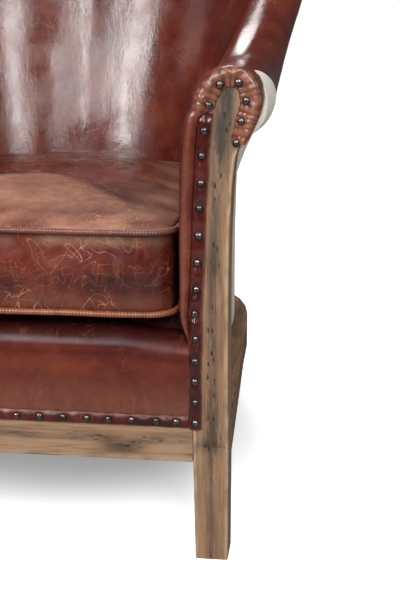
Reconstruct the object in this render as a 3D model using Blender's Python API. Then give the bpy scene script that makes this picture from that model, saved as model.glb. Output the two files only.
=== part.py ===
"""Worn club chair: a leather tub chair on an exposed, weathered wood frame.

Every size is in millimetres and becomes metres when a mesh is made. While the chair is drawn,
X runs to the sitter's left, Y runs back from the front face of the posts and Z runs up from the floor.
The last step moves everything along Y, so that the origin is the centre of the chair's footprint.
"""

import math

import bmesh
import bpy
from mathutils import Vector

MM = 0.001
FIT_GAP = 0.3

# Posts, legs and rails
POST_OUTER_X = 313.0
POST_WIDTH = 47.5
POST_DEPTH = 50.0
POST_BEVEL = 2.5
HEAD_CLEARANCE = 0.5
LEG_FOOT_WIDTH = 44.0
LEG_TOP_Z = 166.0
RAIL_BOTTOM_Z = 142.5
SIDE_RAIL_HEIGHT = 46.5
SIDE_RAIL_WIDTH = 70.0
FRONT_RAIL_THICKNESS = 28.0
FRONT_RAIL_HEIGHT = 83.5
REAR_LEG_TOP = 42.0
REAR_LEG_FOOT = 36.0
REAR_LEG_SPLAY = 22.0
REAR_LEG_PLACE = 0.70
REAR_LEG_INSET = 25.0
BLOCK_REACH = 85.0
BLOCK_HEIGHT = 34.0

# Plan of the tub: the outside of the base ring and the inside leather at the level of the ring
OUTER_SIDE_BACK_X = 300.0
SIDE_BACK_Y = 430.0
OUTER_REAR_Y = 775.0
OUTER_CORNER_POWER = 3.0
INNER_FRONT_X = 248.5
INNER_SIDE_BACK_X = 217.0
INNER_REAR_Y = 602.0
INNER_CORNER_POWER = 2.4
SIDE_SHARE = 0.42

# Rolled top edge: how high, how fat and how far flared it is, from the arm front (0) to mid back (1)
ARM_ROLL_Z = 611.0
CREST_ROLL_Z = 888.0
RISE_START = 0.12
RISE_END = 0.72
CROWN = 12.0
CROWN_START = 0.55
ROLL_RADIUS = ((0.0, 48.0), (0.08, 49.0), (0.2, 45.0), (0.4, 38.0), (0.7, 35.0), (1.0, 34.0))
FLARE = ((0.0, 14.0), (0.07, 26.0), (0.17, 40.0), (0.28, 60.0), (0.4, 74.0), (0.6, 76.0), (1.0, 64.0))
FLARE_HEIGHT = 500.0
TOP_RAIL_RADIUS = 20.5
SOCKET_CLEARANCE = 1.5
WRAP_END_DEG = ((0.0, 62.0), (0.05, 48.0), (0.1, 22.0), (0.15, -8.0), (0.25, -30.0), (0.38, -36.0), (1.0, -38.0))
SEAM_DEG = 1.5
TUCK_DEG = -64.0
WALL_CAVITY = ((0.0, 18.7), (0.35, 29.0), (0.65, 58.0), (1.0, 62.0))

# Leather, cloth and wall thicknesses
LEATHER = 2.0
PAD_CLEARANCE = 0.8
CLOTH = 1.6
LEDGE = 26.0
UPRIGHT_THICKNESS = 15.0
UPRIGHT_SPAN = 0.035
ARM_UPRIGHT_PLACE = 0.82
BACK_UPRIGHT_PLACE = 0.40
UPRIGHT_TOP_GAP = 3.0
WRAP_STEPS = 7
FACE_STEPS = 5
ARM_SEAM = 0.44

# Seat
WEB_THICKNESS = 2.4
WEB_WIDTH = 52.0
WEB_PITCH_X = 88.0
WEB_PITCH_Y = 100.0
WEB_LONG_COUNT = 5
WEB_CROSS_COUNT = 6
WEB_TACK = 18.0
WEB_FRONT_Y = 8.0
WEB_FIRST_Y = 70.0
WEB_SIDE_END_Y = 690.0
WEB_END_Y = 718.0
DUST_CLOTH = 1.0
DUST_INSET = 65.0
DUST_FRONT_Y = 10.0
SPRING_RADIUS = 44.0
SPRING_WAIST = 33.0
SPRING_WIRE = 4.4
SPRING_TURNS = 4
SPRING_SIDES = 8
SPRING_FLAT_SHARE = 0.1
SPRING_COLUMNS = 3
SPRING_ROWS = 3
SPRING_PITCH_X = 130.0
SPRING_PITCH_Y = 150.0
SPRING_FRONT_Y = 155.0
SPRING_TOP_Z = 300.0
HESSIAN = 1.6
DECK_TOP_Z = 338.0
LIP_DEPTH = 60.0
LIP_RADIUS = 20.0
DECK_SIDE_GAP = 1.2

# Loose seat cushion
CUSHION_CLEARANCE = 4.0
CUSHION_FRONT_Y = -12.0
CUSHION_CORNER = 42.0
CUSHION_WELT_Z = 348.0
CUSHION_TOP_WELT_Z = 455.0
CUSHION_CROWN = 33.0
WELT_RADIUS = 4.2
WALL_INSET = 6.0
CUSHION_EDGE = 7.0

# Leather strips and domed nails
STRIP_WIDTH = 17.0
FRONT_STRIP_WIDTH = 15.0
FRONT_STRIP_Z = 199.0
STRIP_THICKNESS = 2.0
NAIL_RADIUS = 5.2
NAIL_HEIGHT = 3.9
ARM_NAILS = 19
FRONT_NAILS = 17
FRONT_NAIL_REACH = 243.0
NAIL_LINE_X = 268.3

ARM_STEPS = 11
BACK_STEPS = 15
RAIL_STEPS = 14
JOINT_GAP_SHARE = 0.0004
TABLE_STEPS = 160

# Values worked out from the sizes above
RING_TOP_Z = RAIL_BOTTOM_Z + SIDE_RAIL_HEIGHT
FRONT_RAIL_TOP_Z = RAIL_BOTTOM_Z + FRONT_RAIL_HEIGHT
RAIL_END_X = POST_OUTER_X - POST_WIDTH
PAD_BOTTOM_Z = RING_TOP_Z + FIT_GAP
PAD_RADIUS_CUT = LEATHER + PAD_CLEARANCE
WEB_HALF_REACH = OUTER_SIDE_BACK_X - SIDE_RAIL_WIDTH + WEB_TACK
RAIL_SOCKET = TOP_RAIL_RADIUS + SOCKET_CLEARANCE

WOOD_COLOUR = (0.33, 0.20, 0.12)
LEATHER_COLOUR = (0.13, 0.035, 0.022)
CLOTH_COLOUR = (0.62, 0.58, 0.49)
HESSIAN_COLOUR = (0.36, 0.25, 0.13)
STEEL_COLOUR = (0.30, 0.28, 0.27)
PAD_COLOUR = (0.55, 0.47, 0.33)
BLACK_CLOTH_COLOUR = (0.03, 0.03, 0.03)


def clear_scene():
    for obj in list(bpy.data.objects):
        bpy.data.objects.remove(obj)


def make_material(name, colour, roughness, metallic=0.0):
    material = bpy.data.materials.new(name)
    material.use_nodes = True
    shader = material.node_tree.nodes["Principled BSDF"]
    shader.inputs["Base Color"].default_value = (*colour, 1.0)
    shader.inputs["Roughness"].default_value = roughness
    shader.inputs["Metallic"].default_value = metallic
    return material


def add_solid(name, points, faces, material, smooth_angle=35.0):
    """One named object from points in millimetres and faces as lists of point numbers."""
    mesh = bpy.data.meshes.new(name)
    mesh.from_pydata([tuple(c * MM for c in p) for p in points], [], faces)
    body = bmesh.new()
    body.from_mesh(mesh)
    bmesh.ops.recalc_face_normals(body, faces=body.faces)
    body.to_mesh(mesh)
    body.free()
    mesh.materials.append(material)
    mesh.shade_smooth()
    mesh.set_sharp_from_angle(angle=math.radians(smooth_angle))
    obj = bpy.data.objects.new(name, mesh)
    bpy.context.scene.collection.objects.link(obj)
    return obj


def loft(name, rings, material, closed=False, fold=0):
    """A solid through rings of the same number of points. closed joins the last ring to the first.
    fold is where a thin section turns back; both skins are then cut along the same diagonals."""
    count = len(rings[0])
    points = [p for ring in rings for p in ring]
    faces = []
    last = len(rings) if closed else len(rings) - 1
    for i in range(last):
        here = i * count
        there = ((i + 1) % len(rings)) * count
        for j in range(count):
            k = (j + 1) % count
            if not fold:
                faces.append((here + j, here + k, there + k, there + j))
            elif j < fold:
                faces += [(here + j, here + k, there + k), (here + j, there + k, there + j)]
            else:
                faces += [(here + j, here + k, there + j), (here + k, there + k, there + j)]
    if not closed:
        faces.append(tuple(range(count)))
        faces.append(tuple(range((len(rings) - 1) * count, len(rings) * count)))
    return add_solid(name, points, faces, material)


def prism_z(name, outline, low, high, material):
    return loft(name, [[(x, y, z) for x, y in outline] for z in (low, high)], material)


def prism_y(name, outline, front, back, material):
    return loft(name, [[(x, y, z) for x, z in outline] for y in (front, back)], material)


def bevel(obj, width, segments=2):
    modifier = obj.modifiers.new("edge", "BEVEL")
    modifier.width = width * MM
    modifier.segments = segments
    modifier.limit_method = "ANGLE"
    modifier.angle_limit = math.radians(50)


def mirrored(outline):
    return [(-x, z) for x, z in reversed(outline)]


def through(knots, u):
    """A smooth value through the knots (place, value), by Catmull-Rom."""
    last = len(knots) - 1
    u = min(max(u, knots[0][0]), knots[last][0])
    i = max(k for k in range(last) if knots[k][0] <= u)
    (u1, v1), (u2, v2) = knots[i], knots[i + 1]
    u0, v0 = knots[max(i - 1, 0)]
    u3, v3 = knots[min(i + 2, last)]
    slope1 = (v2 - v0) / (u2 - u0)
    slope2 = (v3 - v1) / (u3 - u1)
    span = u2 - u1
    t = (u - u1) / span
    return (
        (2 * t**3 - 3 * t**2 + 1) * v1
        + (t**3 - 2 * t**2 + t) * span * slope1
        + (3 * t**2 - 2 * t**3) * v2
        + (t**3 - t**2) * span * slope2
    )


def smoothstep(t):
    t = min(max(t, 0.0), 1.0)
    return t * t * (3 - 2 * t)


def corner_table(half_width, depth, power):
    """Points of a quarter superellipse behind SIDE_BACK_Y, with the length run so far at each."""
    table = [(0.0, half_width, SIDE_BACK_Y)]
    for i in range(1, TABLE_STEPS + 1):
        angle = math.pi / 2 * (i / TABLE_STEPS) ** power
        x = half_width * max(math.cos(angle), 0.0) ** (2 / power)
        y = SIDE_BACK_Y + depth * math.sin(angle) ** (2 / power)
        run, x0, y0 = table[-1]
        table.append((run + math.hypot(x - x0, y - y0), x, y))
    return table


def at_share(table, share):
    """The point of a table at this share of its whole length."""
    target = share * table[-1][0]
    for (run0, x0, y0), (run1, x1, y1) in zip(table, table[1:]):
        if target <= run1:
            t = (target - run0) / (run1 - run0)
            return x0 + (x1 - x0) * t, y0 + (y1 - y0) * t
    return table[-1][1], table[-1][2]


OUTER_CORNER = corner_table(OUTER_SIDE_BACK_X, OUTER_REAR_Y - SIDE_BACK_Y, OUTER_CORNER_POWER)
INNER_CORNER = corner_table(INNER_SIDE_BACK_X, INNER_REAR_Y - SIDE_BACK_Y, INNER_CORNER_POWER)


def plan_point(u, front_x, back_x, corner):
    if u <= SIDE_SHARE:
        t = u / SIDE_SHARE
        return front_x + (back_x - front_x) * t, POST_DEPTH + (SIDE_BACK_Y - POST_DEPTH) * t
    return at_share(corner, (u - SIDE_SHARE) / (1 - SIDE_SHARE))


def outer_point(u):
    return plan_point(u, POST_OUTER_X, OUTER_SIDE_BACK_X, OUTER_CORNER)


def inner_point(u):
    return plan_point(u, INNER_FRONT_X, INNER_SIDE_BACK_X, INNER_CORNER)


def share_at_depth(y):
    """How far round from mid back the straight side of the tub is at a depth, from 0 to 1."""
    return 1 - SIDE_SHARE * (y - POST_DEPTH) / (SIDE_BACK_Y - POST_DEPTH)


def wall_depth(u):
    (x0, y0), (x1, y1) = outer_point(u), inner_point(u)
    return math.hypot(x0 - x1, y0 - y1)


def tub_point(t, offset, z):
    """The point at a height, offset outwards from the ring's outline. t runs from -1, the left arm
    front, through 0, mid back, to 1, the right arm front."""
    u = 1 - abs(t)
    (x0, y0), (x1, y1) = outer_point(u), inner_point(u)
    length = math.hypot(x0 - x1, y0 - y1)
    x = x0 + (x0 - x1) / length * offset
    y = y0 + (y0 - y1) / length * offset
    return (x if t > 0 else -x), y, z


def roll_z(u):
    rise = smoothstep((u - RISE_START) / (RISE_END - RISE_START))
    crown = CROWN * smoothstep((u - CROWN_START) / (1 - CROWN_START))
    return ARM_ROLL_Z + (CREST_ROLL_Z - ARM_ROLL_Z) * rise + crown


def roll_radius(u):
    return through(ROLL_RADIUS, u)


def inner_offset(u, z):
    """Where the inside leather's face is, outwards from the ring's outline."""
    flare = through(FLARE, u) * ((z - RING_TOP_Z) / FLARE_HEIGHT) ** 2
    return flare - wall_depth(u)


def roll_offset(u):
    return inner_offset(u, roll_z(u)) + roll_radius(u)


def climb(u, z):
    """0 at the ring, 1 at the middle of the rolled edge."""
    return (z - RING_TOP_Z) / (roll_z(u) - RING_TOP_Z)


def pad_back_offset(u, z):
    """The hidden side of the inside padding."""
    top = roll_offset(u) - RAIL_SOCKET
    front = inner_offset(u, z) + PAD_RADIUS_CUT
    base_thickness = wall_depth(u) - LEDGE - PAD_RADIUS_CUT - through(WALL_CAVITY, u)
    top_thickness = top - inner_offset(u, roll_z(u)) - PAD_RADIUS_CUT
    return front + base_thickness + (top_thickness - base_thickness) * climb(u, z)


def cover_offset(u, z):
    """The outside face of the outside cloth, below the roll."""
    top, top_z = arc(u, roll_radius(u), TUCK_DEG, TUCK_DEG, 1)[0]
    t = min(max((z - RING_TOP_Z) / (top_z - RING_TOP_Z), 0.0), 1.0)
    return -LEDGE + (top + LEDGE) * t**4


def arc(u, radius, start_deg, end_deg, steps):
    """Points round the rolled edge. 180 degrees faces the sitter, 90 up and 0 outwards."""
    centre = roll_offset(u)
    found = []
    for i in range(steps + 1):
        angle = math.radians(start_deg + (end_deg - start_deg) * i / steps)
        found.append((centre + radius * math.cos(angle), roll_z(u) + radius * math.sin(angle)))
    return found


def heights(low, high, steps):
    return [low + (high - low) * i / steps for i in range(steps + 1)]


def tub_piece(name, start, end, stations, section, material):
    """A solid swept round the tub, through a section of (offset, height) points at each station."""
    rings = []
    for t in heights(start, end, stations):
        rings.append([tub_point(t, offset, z) for offset, z in section(1 - abs(t))])
    return loft(name, rings, material, fold=len(rings[0]) // 2)


def pad_section(u):
    end = through(WRAP_END_DEG, u)
    face = [(inner_offset(u, z) + PAD_RADIUS_CUT, z) for z in heights(PAD_BOTTOM_Z, roll_z(u), FACE_STEPS)]
    over = arc(u, roll_radius(u) - PAD_RADIUS_CUT, 180, end, WRAP_STEPS)
    under = arc(u, RAIL_SOCKET, end, 180, WRAP_STEPS)
    back = [(pad_back_offset(u, z), z) for z in heights(roll_z(u), PAD_BOTTOM_Z, 4)]
    return face + over[1:] + under + back[1:]


def leather_section(u):
    end = through(WRAP_END_DEG, u)
    face = [(inner_offset(u, z), z) for z in heights(PAD_BOTTOM_Z, roll_z(u), FACE_STEPS)]
    over = arc(u, roll_radius(u), 180, end, WRAP_STEPS)
    under = arc(u, roll_radius(u) - LEATHER, end, 180, WRAP_STEPS)
    back = [(inner_offset(u, z) + LEATHER, z) for z in heights(roll_z(u), PAD_BOTTOM_Z, FACE_STEPS)]
    return face + over[1:] + under + back[1:]


def cover_section(u):
    """Cloth over the outside of the roll, round under it and down to the ring."""
    start = through(WRAP_END_DEG, u) - SEAM_DEG
    end = TUCK_DEG
    wall_top = arc(u, roll_radius(u), end, end, 1)[0][1]
    over = arc(u, roll_radius(u), start, end, 5)
    wall = [(cover_offset(u, z), z) for z in heights(wall_top, PAD_BOTTOM_Z, 6)][1:]
    back_wall = [(offset - CLOTH, z) for offset, z in reversed(wall)]
    under = arc(u, roll_radius(u) - CLOTH, end, start, 5)
    return over + wall + back_wall + under


def rail_section(u):
    return arc(u, TOP_RAIL_RADIUS, 157.5, 157.5 - 315, 7)


def upright_section(u):
    top = roll_z(u) - TOP_RAIL_RADIUS - UPRIGHT_TOP_GAP
    inner, outer = [], []
    for z in heights(PAD_BOTTOM_Z, top, 5):
        middle = (pad_back_offset(u, z) + cover_offset(u, z) - CLOTH) / 2
        inner.append((middle - UPRIGHT_THICKNESS / 2, z))
        outer.append((middle + UPRIGHT_THICKNESS / 2, z))
    return inner + list(reversed(outer))


def both_sides(name, make):
    """Runs make(name, sign) for the right side (1) and the left side (-1)."""
    for side, sign in (("right", 1), ("left", -1)):
        make(f"{name}_{side}", sign)


def make_rails(wood):
    front = [
        (-RAIL_END_X + FIT_GAP, 0.0),
        (RAIL_END_X - FIT_GAP, 0.0),
        (RAIL_END_X - FIT_GAP, FRONT_RAIL_THICKNESS),
        (-RAIL_END_X + FIT_GAP, FRONT_RAIL_THICKNESS),
    ]
    rail = prism_z("front_rail", front, RAIL_BOTTOM_Z, FRONT_RAIL_TOP_Z, wood)
    bevel(rail, 1.5, 1)

    def ring_section(_):
        return [
            (-SIDE_RAIL_WIDTH, RAIL_BOTTOM_Z),
            (-SIDE_RAIL_WIDTH, RING_TOP_Z),
            (0.0, RING_TOP_Z),
            (0.0, RAIL_BOTTOM_Z),
        ]

    joint = 1 - REAR_LEG_PLACE
    front = share_at_depth(POST_DEPTH)
    both_sides("side_rail", lambda name, sign: tub_piece(
        name, sign * front, sign * (joint + JOINT_GAP_SHARE), RAIL_STEPS, ring_section, wood))
    tub_piece("back_rail", -joint, joint, RAIL_STEPS, ring_section, wood)


def make_front_leg(name, sign, wood):
    """Square leg below the frame, tapered on its inner side, glued up into the foot of the post."""
    depth = POST_DEPTH - FIT_GAP

    def ring(width, z):
        outer = POST_OUTER_X
        return [
            (sign * outer, 0.0, z),
            (sign * outer, depth, z),
            (sign * (outer - width), depth, z),
            (sign * (outer - width), 0.0, z),
        ]

    leg = loft(name, [ring(LEG_FOOT_WIDTH, 0.0), ring(POST_WIDTH, LEG_TOP_Z - FIT_GAP)], wood)
    bevel(leg, POST_BEVEL)


def post_outline():
    """Front view of the arm post, from its foot up the inner side, over the head and down outside."""
    foot = LEG_TOP_Z
    inner = POST_OUTER_X - POST_WIDTH
    outer = POST_OUTER_X
    return [
        (inner, foot),
        (inner, FRONT_RAIL_TOP_Z),
        (inner - 2.0, foot + 130),
        (inner - 1.5, foot + 260),
        (inner + 2.5, foot + 345),
        (inner + 8.5, foot + 400),
        (inner + 17.0, foot + 438),
        (inner + 27.0, foot + 461),
        (inner + 40.0, foot + 473),
        (inner + 53.0, foot + 473),
        (inner + 63.0, foot + 464),
        (inner + 67.5, foot + 449),
        (inner + 66.0, foot + 428),
        (inner + 60.0, foot + 405),
        (outer + 5.0, foot + 380),
        (outer + 1.0, foot + 335),
        (outer - 1.5, foot + 260),
        (outer - 1.5, foot + 130),
        (outer, foot),
    ]


def grown(outline, distance):
    """An open outline moved sideways to its left by a distance."""
    found = []
    for i, (x, z) in enumerate(outline):
        x0, z0 = outline[max(i - 1, 0)]
        x1, z1 = outline[min(i + 1, len(outline) - 1)]
        length = math.hypot(x1 - x0, z1 - z0)
        found.append((x - (z1 - z0) / length * distance, z + (x1 - x0) / length * distance))
    return found


def front_roll_outline():
    """Front view of the stuffed roll round the post's head: outer edge up and over, then back."""
    foot = LEG_TOP_Z
    low_end = FRONT_RAIL_TOP_Z + FIT_GAP
    outer_edge = [
        (INNER_FRONT_X + 1.0, low_end),
        (INNER_FRONT_X, foot + 260),
        (INNER_FRONT_X + 1.0, foot + 360),
        (INNER_FRONT_X + 5.0, foot + 410),
        (INNER_FRONT_X + 12.0, foot + 440),
        (INNER_FRONT_X + 25.0, foot + 468),
        (INNER_FRONT_X + 42.0, foot + 487),
        (INNER_FRONT_X + 60.0, foot + 494),
        (INNER_FRONT_X + 78.0, foot + 492),
        (INNER_FRONT_X + 93.0, foot + 481),
        (INNER_FRONT_X + 101.5, foot + 462),
        (INNER_FRONT_X + 100.5, foot + 441),
        (INNER_FRONT_X + 92.0, foot + 419),
        (INNER_FRONT_X + 82.0, foot + 401),
    ]
    low = [p for p in post_outline()[:-2] if p[1] > low_end]
    wrapped = grown([(post_outline()[0][0], low_end)] + low[:-3], HEAD_CLEARANCE)
    return outer_edge + list(reversed(wrapped))


def nail_path():
    """Centreline of the leather strip on the post, from the seat rail up and over the head."""
    foot = LEG_TOP_Z
    x = NAIL_LINE_X
    return [
        (x, foot + 31.5),
        (x, foot + 120),
        (x + 2.0, foot + 215),
        (x + 5.5, foot + 315),
        (x + 9.0, foot + 383),
        (x + 12.5, foot + 418),
        (x + 19.0, foot + 449),
        (x + 31.5, foot + 470.5),
        (x + 43.5, foot + 476),
        (x + 55.0, foot + 470),
        (x + 61.5, foot + 452),
        (x + 58.0, foot + 427),
        (x + 51.0, foot + 401),
    ]


def along(path, distance):
    for (x0, z0), (x1, z1) in zip(path, path[1:]):
        step = math.hypot(x1 - x0, z1 - z0)
        if distance <= step:
            return x0 + (x1 - x0) * distance / step, z0 + (z1 - z0) * distance / step
        distance -= step
    return path[-1]


def path_length(path):
    return sum(math.hypot(x1 - x0, z1 - z0) for (x0, z0), (x1, z1) in zip(path, path[1:]))


def nail_places(path, count):
    length = path_length(path)
    return [along(path, length * i / (count - 1)) for i in range(count)]


def add_nails(strip, places, back_y, material):
    """Domed nail heads, joined to the strip that they hold."""
    sides = 8
    points, faces = [], []
    profile = ((1.0, 0.0), (0.74, 0.68))
    for x, z in places:
        first = len(points)
        for share, height in profile:
            for k in range(sides):
                angle = 2 * math.pi * k / sides
                radius = NAIL_RADIUS * share
                points.append(
                    (x + radius * math.cos(angle), back_y - NAIL_HEIGHT * height, z + radius * math.sin(angle))
                )
        points.append((x, back_y - NAIL_HEIGHT, z))
        tip = len(points) - 1
        for ring in range(len(profile) - 1):
            for k in range(sides):
                a = first + ring * sides + k
                b = first + ring * sides + (k + 1) % sides
                faces.append((a, b, b + sides, a + sides))
        top = first + (len(profile) - 1) * sides
        faces += [(top + k, top + (k + 1) % sides, tip) for k in range(sides)]
        faces.append(tuple(range(first, first + sides)))
    domes = add_solid(strip.name + "_nail_heads", points, faces, material)
    domes.hide_render = True
    domes.display_type = "WIRE"
    union = strip.modifiers.new("nails", "BOOLEAN")
    union.operation = "UNION"
    union.object = domes


def make_arm_strip(name, sign, leather, steel):
    path = nail_path()
    half = STRIP_WIDTH / 2
    first, last = path[0], path[-1]
    low = (first[0], first[1] - half)
    tail = (last[0] - 1.5, last[1] - half)
    centre = [low] + path + [tail]
    outline = grown(centre, half) + list(reversed(grown(centre, -half)))
    places = nail_places(path, ARM_NAILS)
    if sign < 0:
        outline = mirrored(outline)
        places = [(-x, z) for x, z in places]
    strip = prism_y(name, outline, -FIT_GAP - STRIP_THICKNESS, -FIT_GAP, leather)
    add_nails(strip, places, -FIT_GAP - STRIP_THICKNESS / 2, steel)


def make_front_strip(leather, steel):
    """Straight strip along the bottom of the border leather, between the two post strips."""
    edge = NAIL_LINE_X - STRIP_WIDTH / 2 - FIT_GAP
    low = FRONT_STRIP_Z - FRONT_STRIP_WIDTH / 2
    high = FRONT_STRIP_Z + FRONT_STRIP_WIDTH / 2
    outline = [(-edge, low), (edge, low), (edge, high), (-edge, high)]
    back = -2 * FIT_GAP - LEATHER
    strip = prism_y("front_nail_strip", outline, back - STRIP_THICKNESS, back, leather)
    step = 2 * FRONT_NAIL_REACH / (FRONT_NAILS - 1)
    places = [(-FRONT_NAIL_REACH + i * step, FRONT_STRIP_Z) for i in range(FRONT_NAILS)]
    add_nails(strip, places, back - STRIP_THICKNESS / 2, steel)


def make_corner_block(name, sign, wood):
    back = FRONT_RAIL_THICKNESS + FIT_GAP
    side = POST_OUTER_X - SIDE_RAIL_WIDTH - FIT_GAP
    taper = (POST_OUTER_X - OUTER_SIDE_BACK_X) / (SIDE_BACK_Y - POST_DEPTH)
    post = RAIL_END_X - FIT_GAP
    end = back + BLOCK_REACH
    outline = [
        (post - BLOCK_REACH, back),
        (post, back),
        (post, POST_DEPTH - FIT_GAP),
        (side, POST_DEPTH - FIT_GAP),
        (side - taper * (end - POST_DEPTH), end),
    ]
    outline = [(sign * x, y) for x, y in outline]
    low = (RAIL_BOTTOM_Z + RING_TOP_Z - BLOCK_HEIGHT) / 2
    prism_z(name, outline, low, low + BLOCK_HEIGHT, wood)


def make_rear_leg(name, sign, wood):
    """Tapered leg under the ring's rear corner, splayed out and back."""
    t = sign * (1 - REAR_LEG_PLACE)
    middle = -REAR_LEG_INSET

    def ring(width, offset, z):
        half = width / 2
        centre = Vector(tub_point(t, offset, z))
        out = (Vector(tub_point(t, offset + 1, z)) - centre).normalized()
        along_rail = Vector((-out.y, out.x, 0.0))
        corners = ((-half, -half), (half, -half), (half, half), (-half, half))
        return [tuple(centre + out * a + along_rail * b) for a, b in corners]

    foot = ring(REAR_LEG_FOOT, middle + REAR_LEG_SPLAY, 0.0)
    top = ring(REAR_LEG_TOP, middle, RAIL_BOTTOM_Z - FIT_GAP)
    bevel(loft(name, [foot, top], wood), POST_BEVEL)


def inset_outline(inset_at, stations, front_y):
    """A D-shaped outline inside the tub, offset from the ring at each station, closed at the front."""
    right = [tub_point(1 - i / stations, inset_at(i / stations), 0)[:2] for i in range(stations + 1)]
    right[0] = (right[0][0], max(front_y, right[0][1]))
    ahead = [(right[0][0], front_y)] if front_y < right[0][1] else []
    half = ahead + right
    return half + [(-x, y) for x, y in reversed(half[:-1])]


def strap_edges(first, pitch, count):
    found = []
    for i in range(count):
        found += [first + i * pitch, first + i * pitch + WEB_WIDTH]
    return found


def make_webbing(cloth):
    """Five long straps and six cross ones, as one woven lattice tacked under the base ring."""
    half = (WEB_PITCH_X * (WEB_LONG_COUNT - 1) + WEB_WIDTH) / 2
    xs = [-WEB_HALF_REACH] + strap_edges(-half, WEB_PITCH_X, WEB_LONG_COUNT) + [WEB_HALF_REACH]
    ys = [WEB_FRONT_Y] + strap_edges(WEB_FIRST_Y, WEB_PITCH_Y, WEB_CROSS_COUNT) + [WEB_SIDE_END_Y, WEB_END_Y]
    outer_columns = (1, len(xs) - 3)
    filled = []
    for i in range(len(xs) - 1):
        for j in range(len(ys) - 1):
            long_strap = i % 2 == 1 and not (i in outer_columns and j == len(ys) - 2)
            cross_strap = j % 2 == 1 and j < 2 * WEB_CROSS_COUNT
            if long_strap or cross_strap:
                filled.append((i, j))
    top = RAIL_BOTTOM_Z - FIT_GAP
    plate = bmesh.new()
    corners = {}

    def corner(i, j):
        if (i, j) not in corners:
            corners[(i, j)] = plate.verts.new((xs[i] * MM, ys[j] * MM, (top - WEB_THICKNESS) * MM))
        return corners[(i, j)]

    for i, j in filled:
        plate.faces.new((corner(i, j), corner(i + 1, j), corner(i + 1, j + 1), corner(i, j + 1)))
    raised = bmesh.ops.extrude_face_region(plate, geom=list(plate.faces))
    lifted = [v for v in raised["geom"] if isinstance(v, bmesh.types.BMVert)]
    bmesh.ops.translate(plate, vec=(0, 0, WEB_THICKNESS * MM), verts=lifted)
    bmesh.ops.recalc_face_normals(plate, faces=plate.faces)
    mesh = bpy.data.meshes.new("seat_webbing")
    plate.to_mesh(mesh)
    plate.free()
    mesh.materials.append(cloth)
    obj = bpy.data.objects.new("seat_webbing", mesh)
    bpy.context.scene.collection.objects.link(obj)


def make_spring(name, x, y, steel):
    """Waisted coil spring of square wire, with flat end turns."""
    bottom = RAIL_BOTTOM_Z + SPRING_WIRE / 2
    top = SPRING_TOP_Z - SPRING_WIRE / 2
    rings = []
    steps = SPRING_TURNS * SPRING_SIDES
    half = SPRING_WIRE / 2
    for i in range(steps + 1):
        share = i / steps
        angle = 2 * math.pi * i / SPRING_SIDES
        climbed = (share - SPRING_FLAT_SHARE) / (1 - 2 * SPRING_FLAT_SHARE)
        radius = SPRING_WAIST + (SPRING_RADIUS - SPRING_WAIST) * abs(2 * share - 1) ** 1.5
        z = bottom + (top - bottom) * min(max(climbed, 0.0), 1.0)
        ring = []
        for across, up in ((-half, -half), (half, -half), (half, half), (-half, half)):
            reach = radius + across
            ring.append((x + reach * math.cos(angle), y + reach * math.sin(angle), z + up))
        rings.append(ring)
    loft(name, rings, steel)


def make_springs(steel):
    for row in range(SPRING_ROWS):
        for column in range(SPRING_COLUMNS):
            x = (column - (SPRING_COLUMNS - 1) / 2) * SPRING_PITCH_X
            y = SPRING_FRONT_Y + row * SPRING_PITCH_Y
            make_spring(f"seat_spring_{row * SPRING_COLUMNS + column + 1}", x, y, steel)


def make_deck(hessian, pad, cloth, black):
    def inside(z, gap):
        return lambda u: inner_offset(u, z) - gap

    lip_back = LIP_DEPTH + FIT_GAP
    sheet_low = SPRING_TOP_Z + 2 * FIT_GAP
    sheet = inset_outline(inside(SPRING_TOP_Z, DECK_SIDE_GAP), 10, lip_back)
    prism_z("spring_hessian", sheet, sheet_low, sheet_low + HESSIAN, hessian)
    pad_low = sheet_low + HESSIAN + FIT_GAP
    prism_z("deck_stuffing", sheet, pad_low, DECK_TOP_Z, pad)
    cover_low = DECK_TOP_Z + FIT_GAP
    prism_z("deck_cloth", sheet, cover_low, cover_low + CLOTH, cloth)
    dust_top = RAIL_BOTTOM_Z - FIT_GAP - WEB_THICKNESS - FIT_GAP
    dust = inset_outline(lambda u: -DUST_INSET, 14, DUST_FRONT_Y)
    prism_z("dust_cover", dust, dust_top - DUST_CLOTH, dust_top, black)


def lip_profile(grow):
    """Side view (y, z) of the stuffed front edge, grown outwards by a distance at its front and top."""
    top = DECK_TOP_Z + grow
    front = FIT_GAP - grow
    radius = LIP_RADIUS + grow
    points = [(front, FRONT_RAIL_TOP_Z + FIT_GAP)]
    for i in range(6):
        angle = math.radians(180 - 90 * i / 5)
        points.append((front + radius + radius * math.cos(angle), top - radius + radius * math.sin(angle)))
    points.append((LIP_DEPTH, top))
    return points


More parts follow.
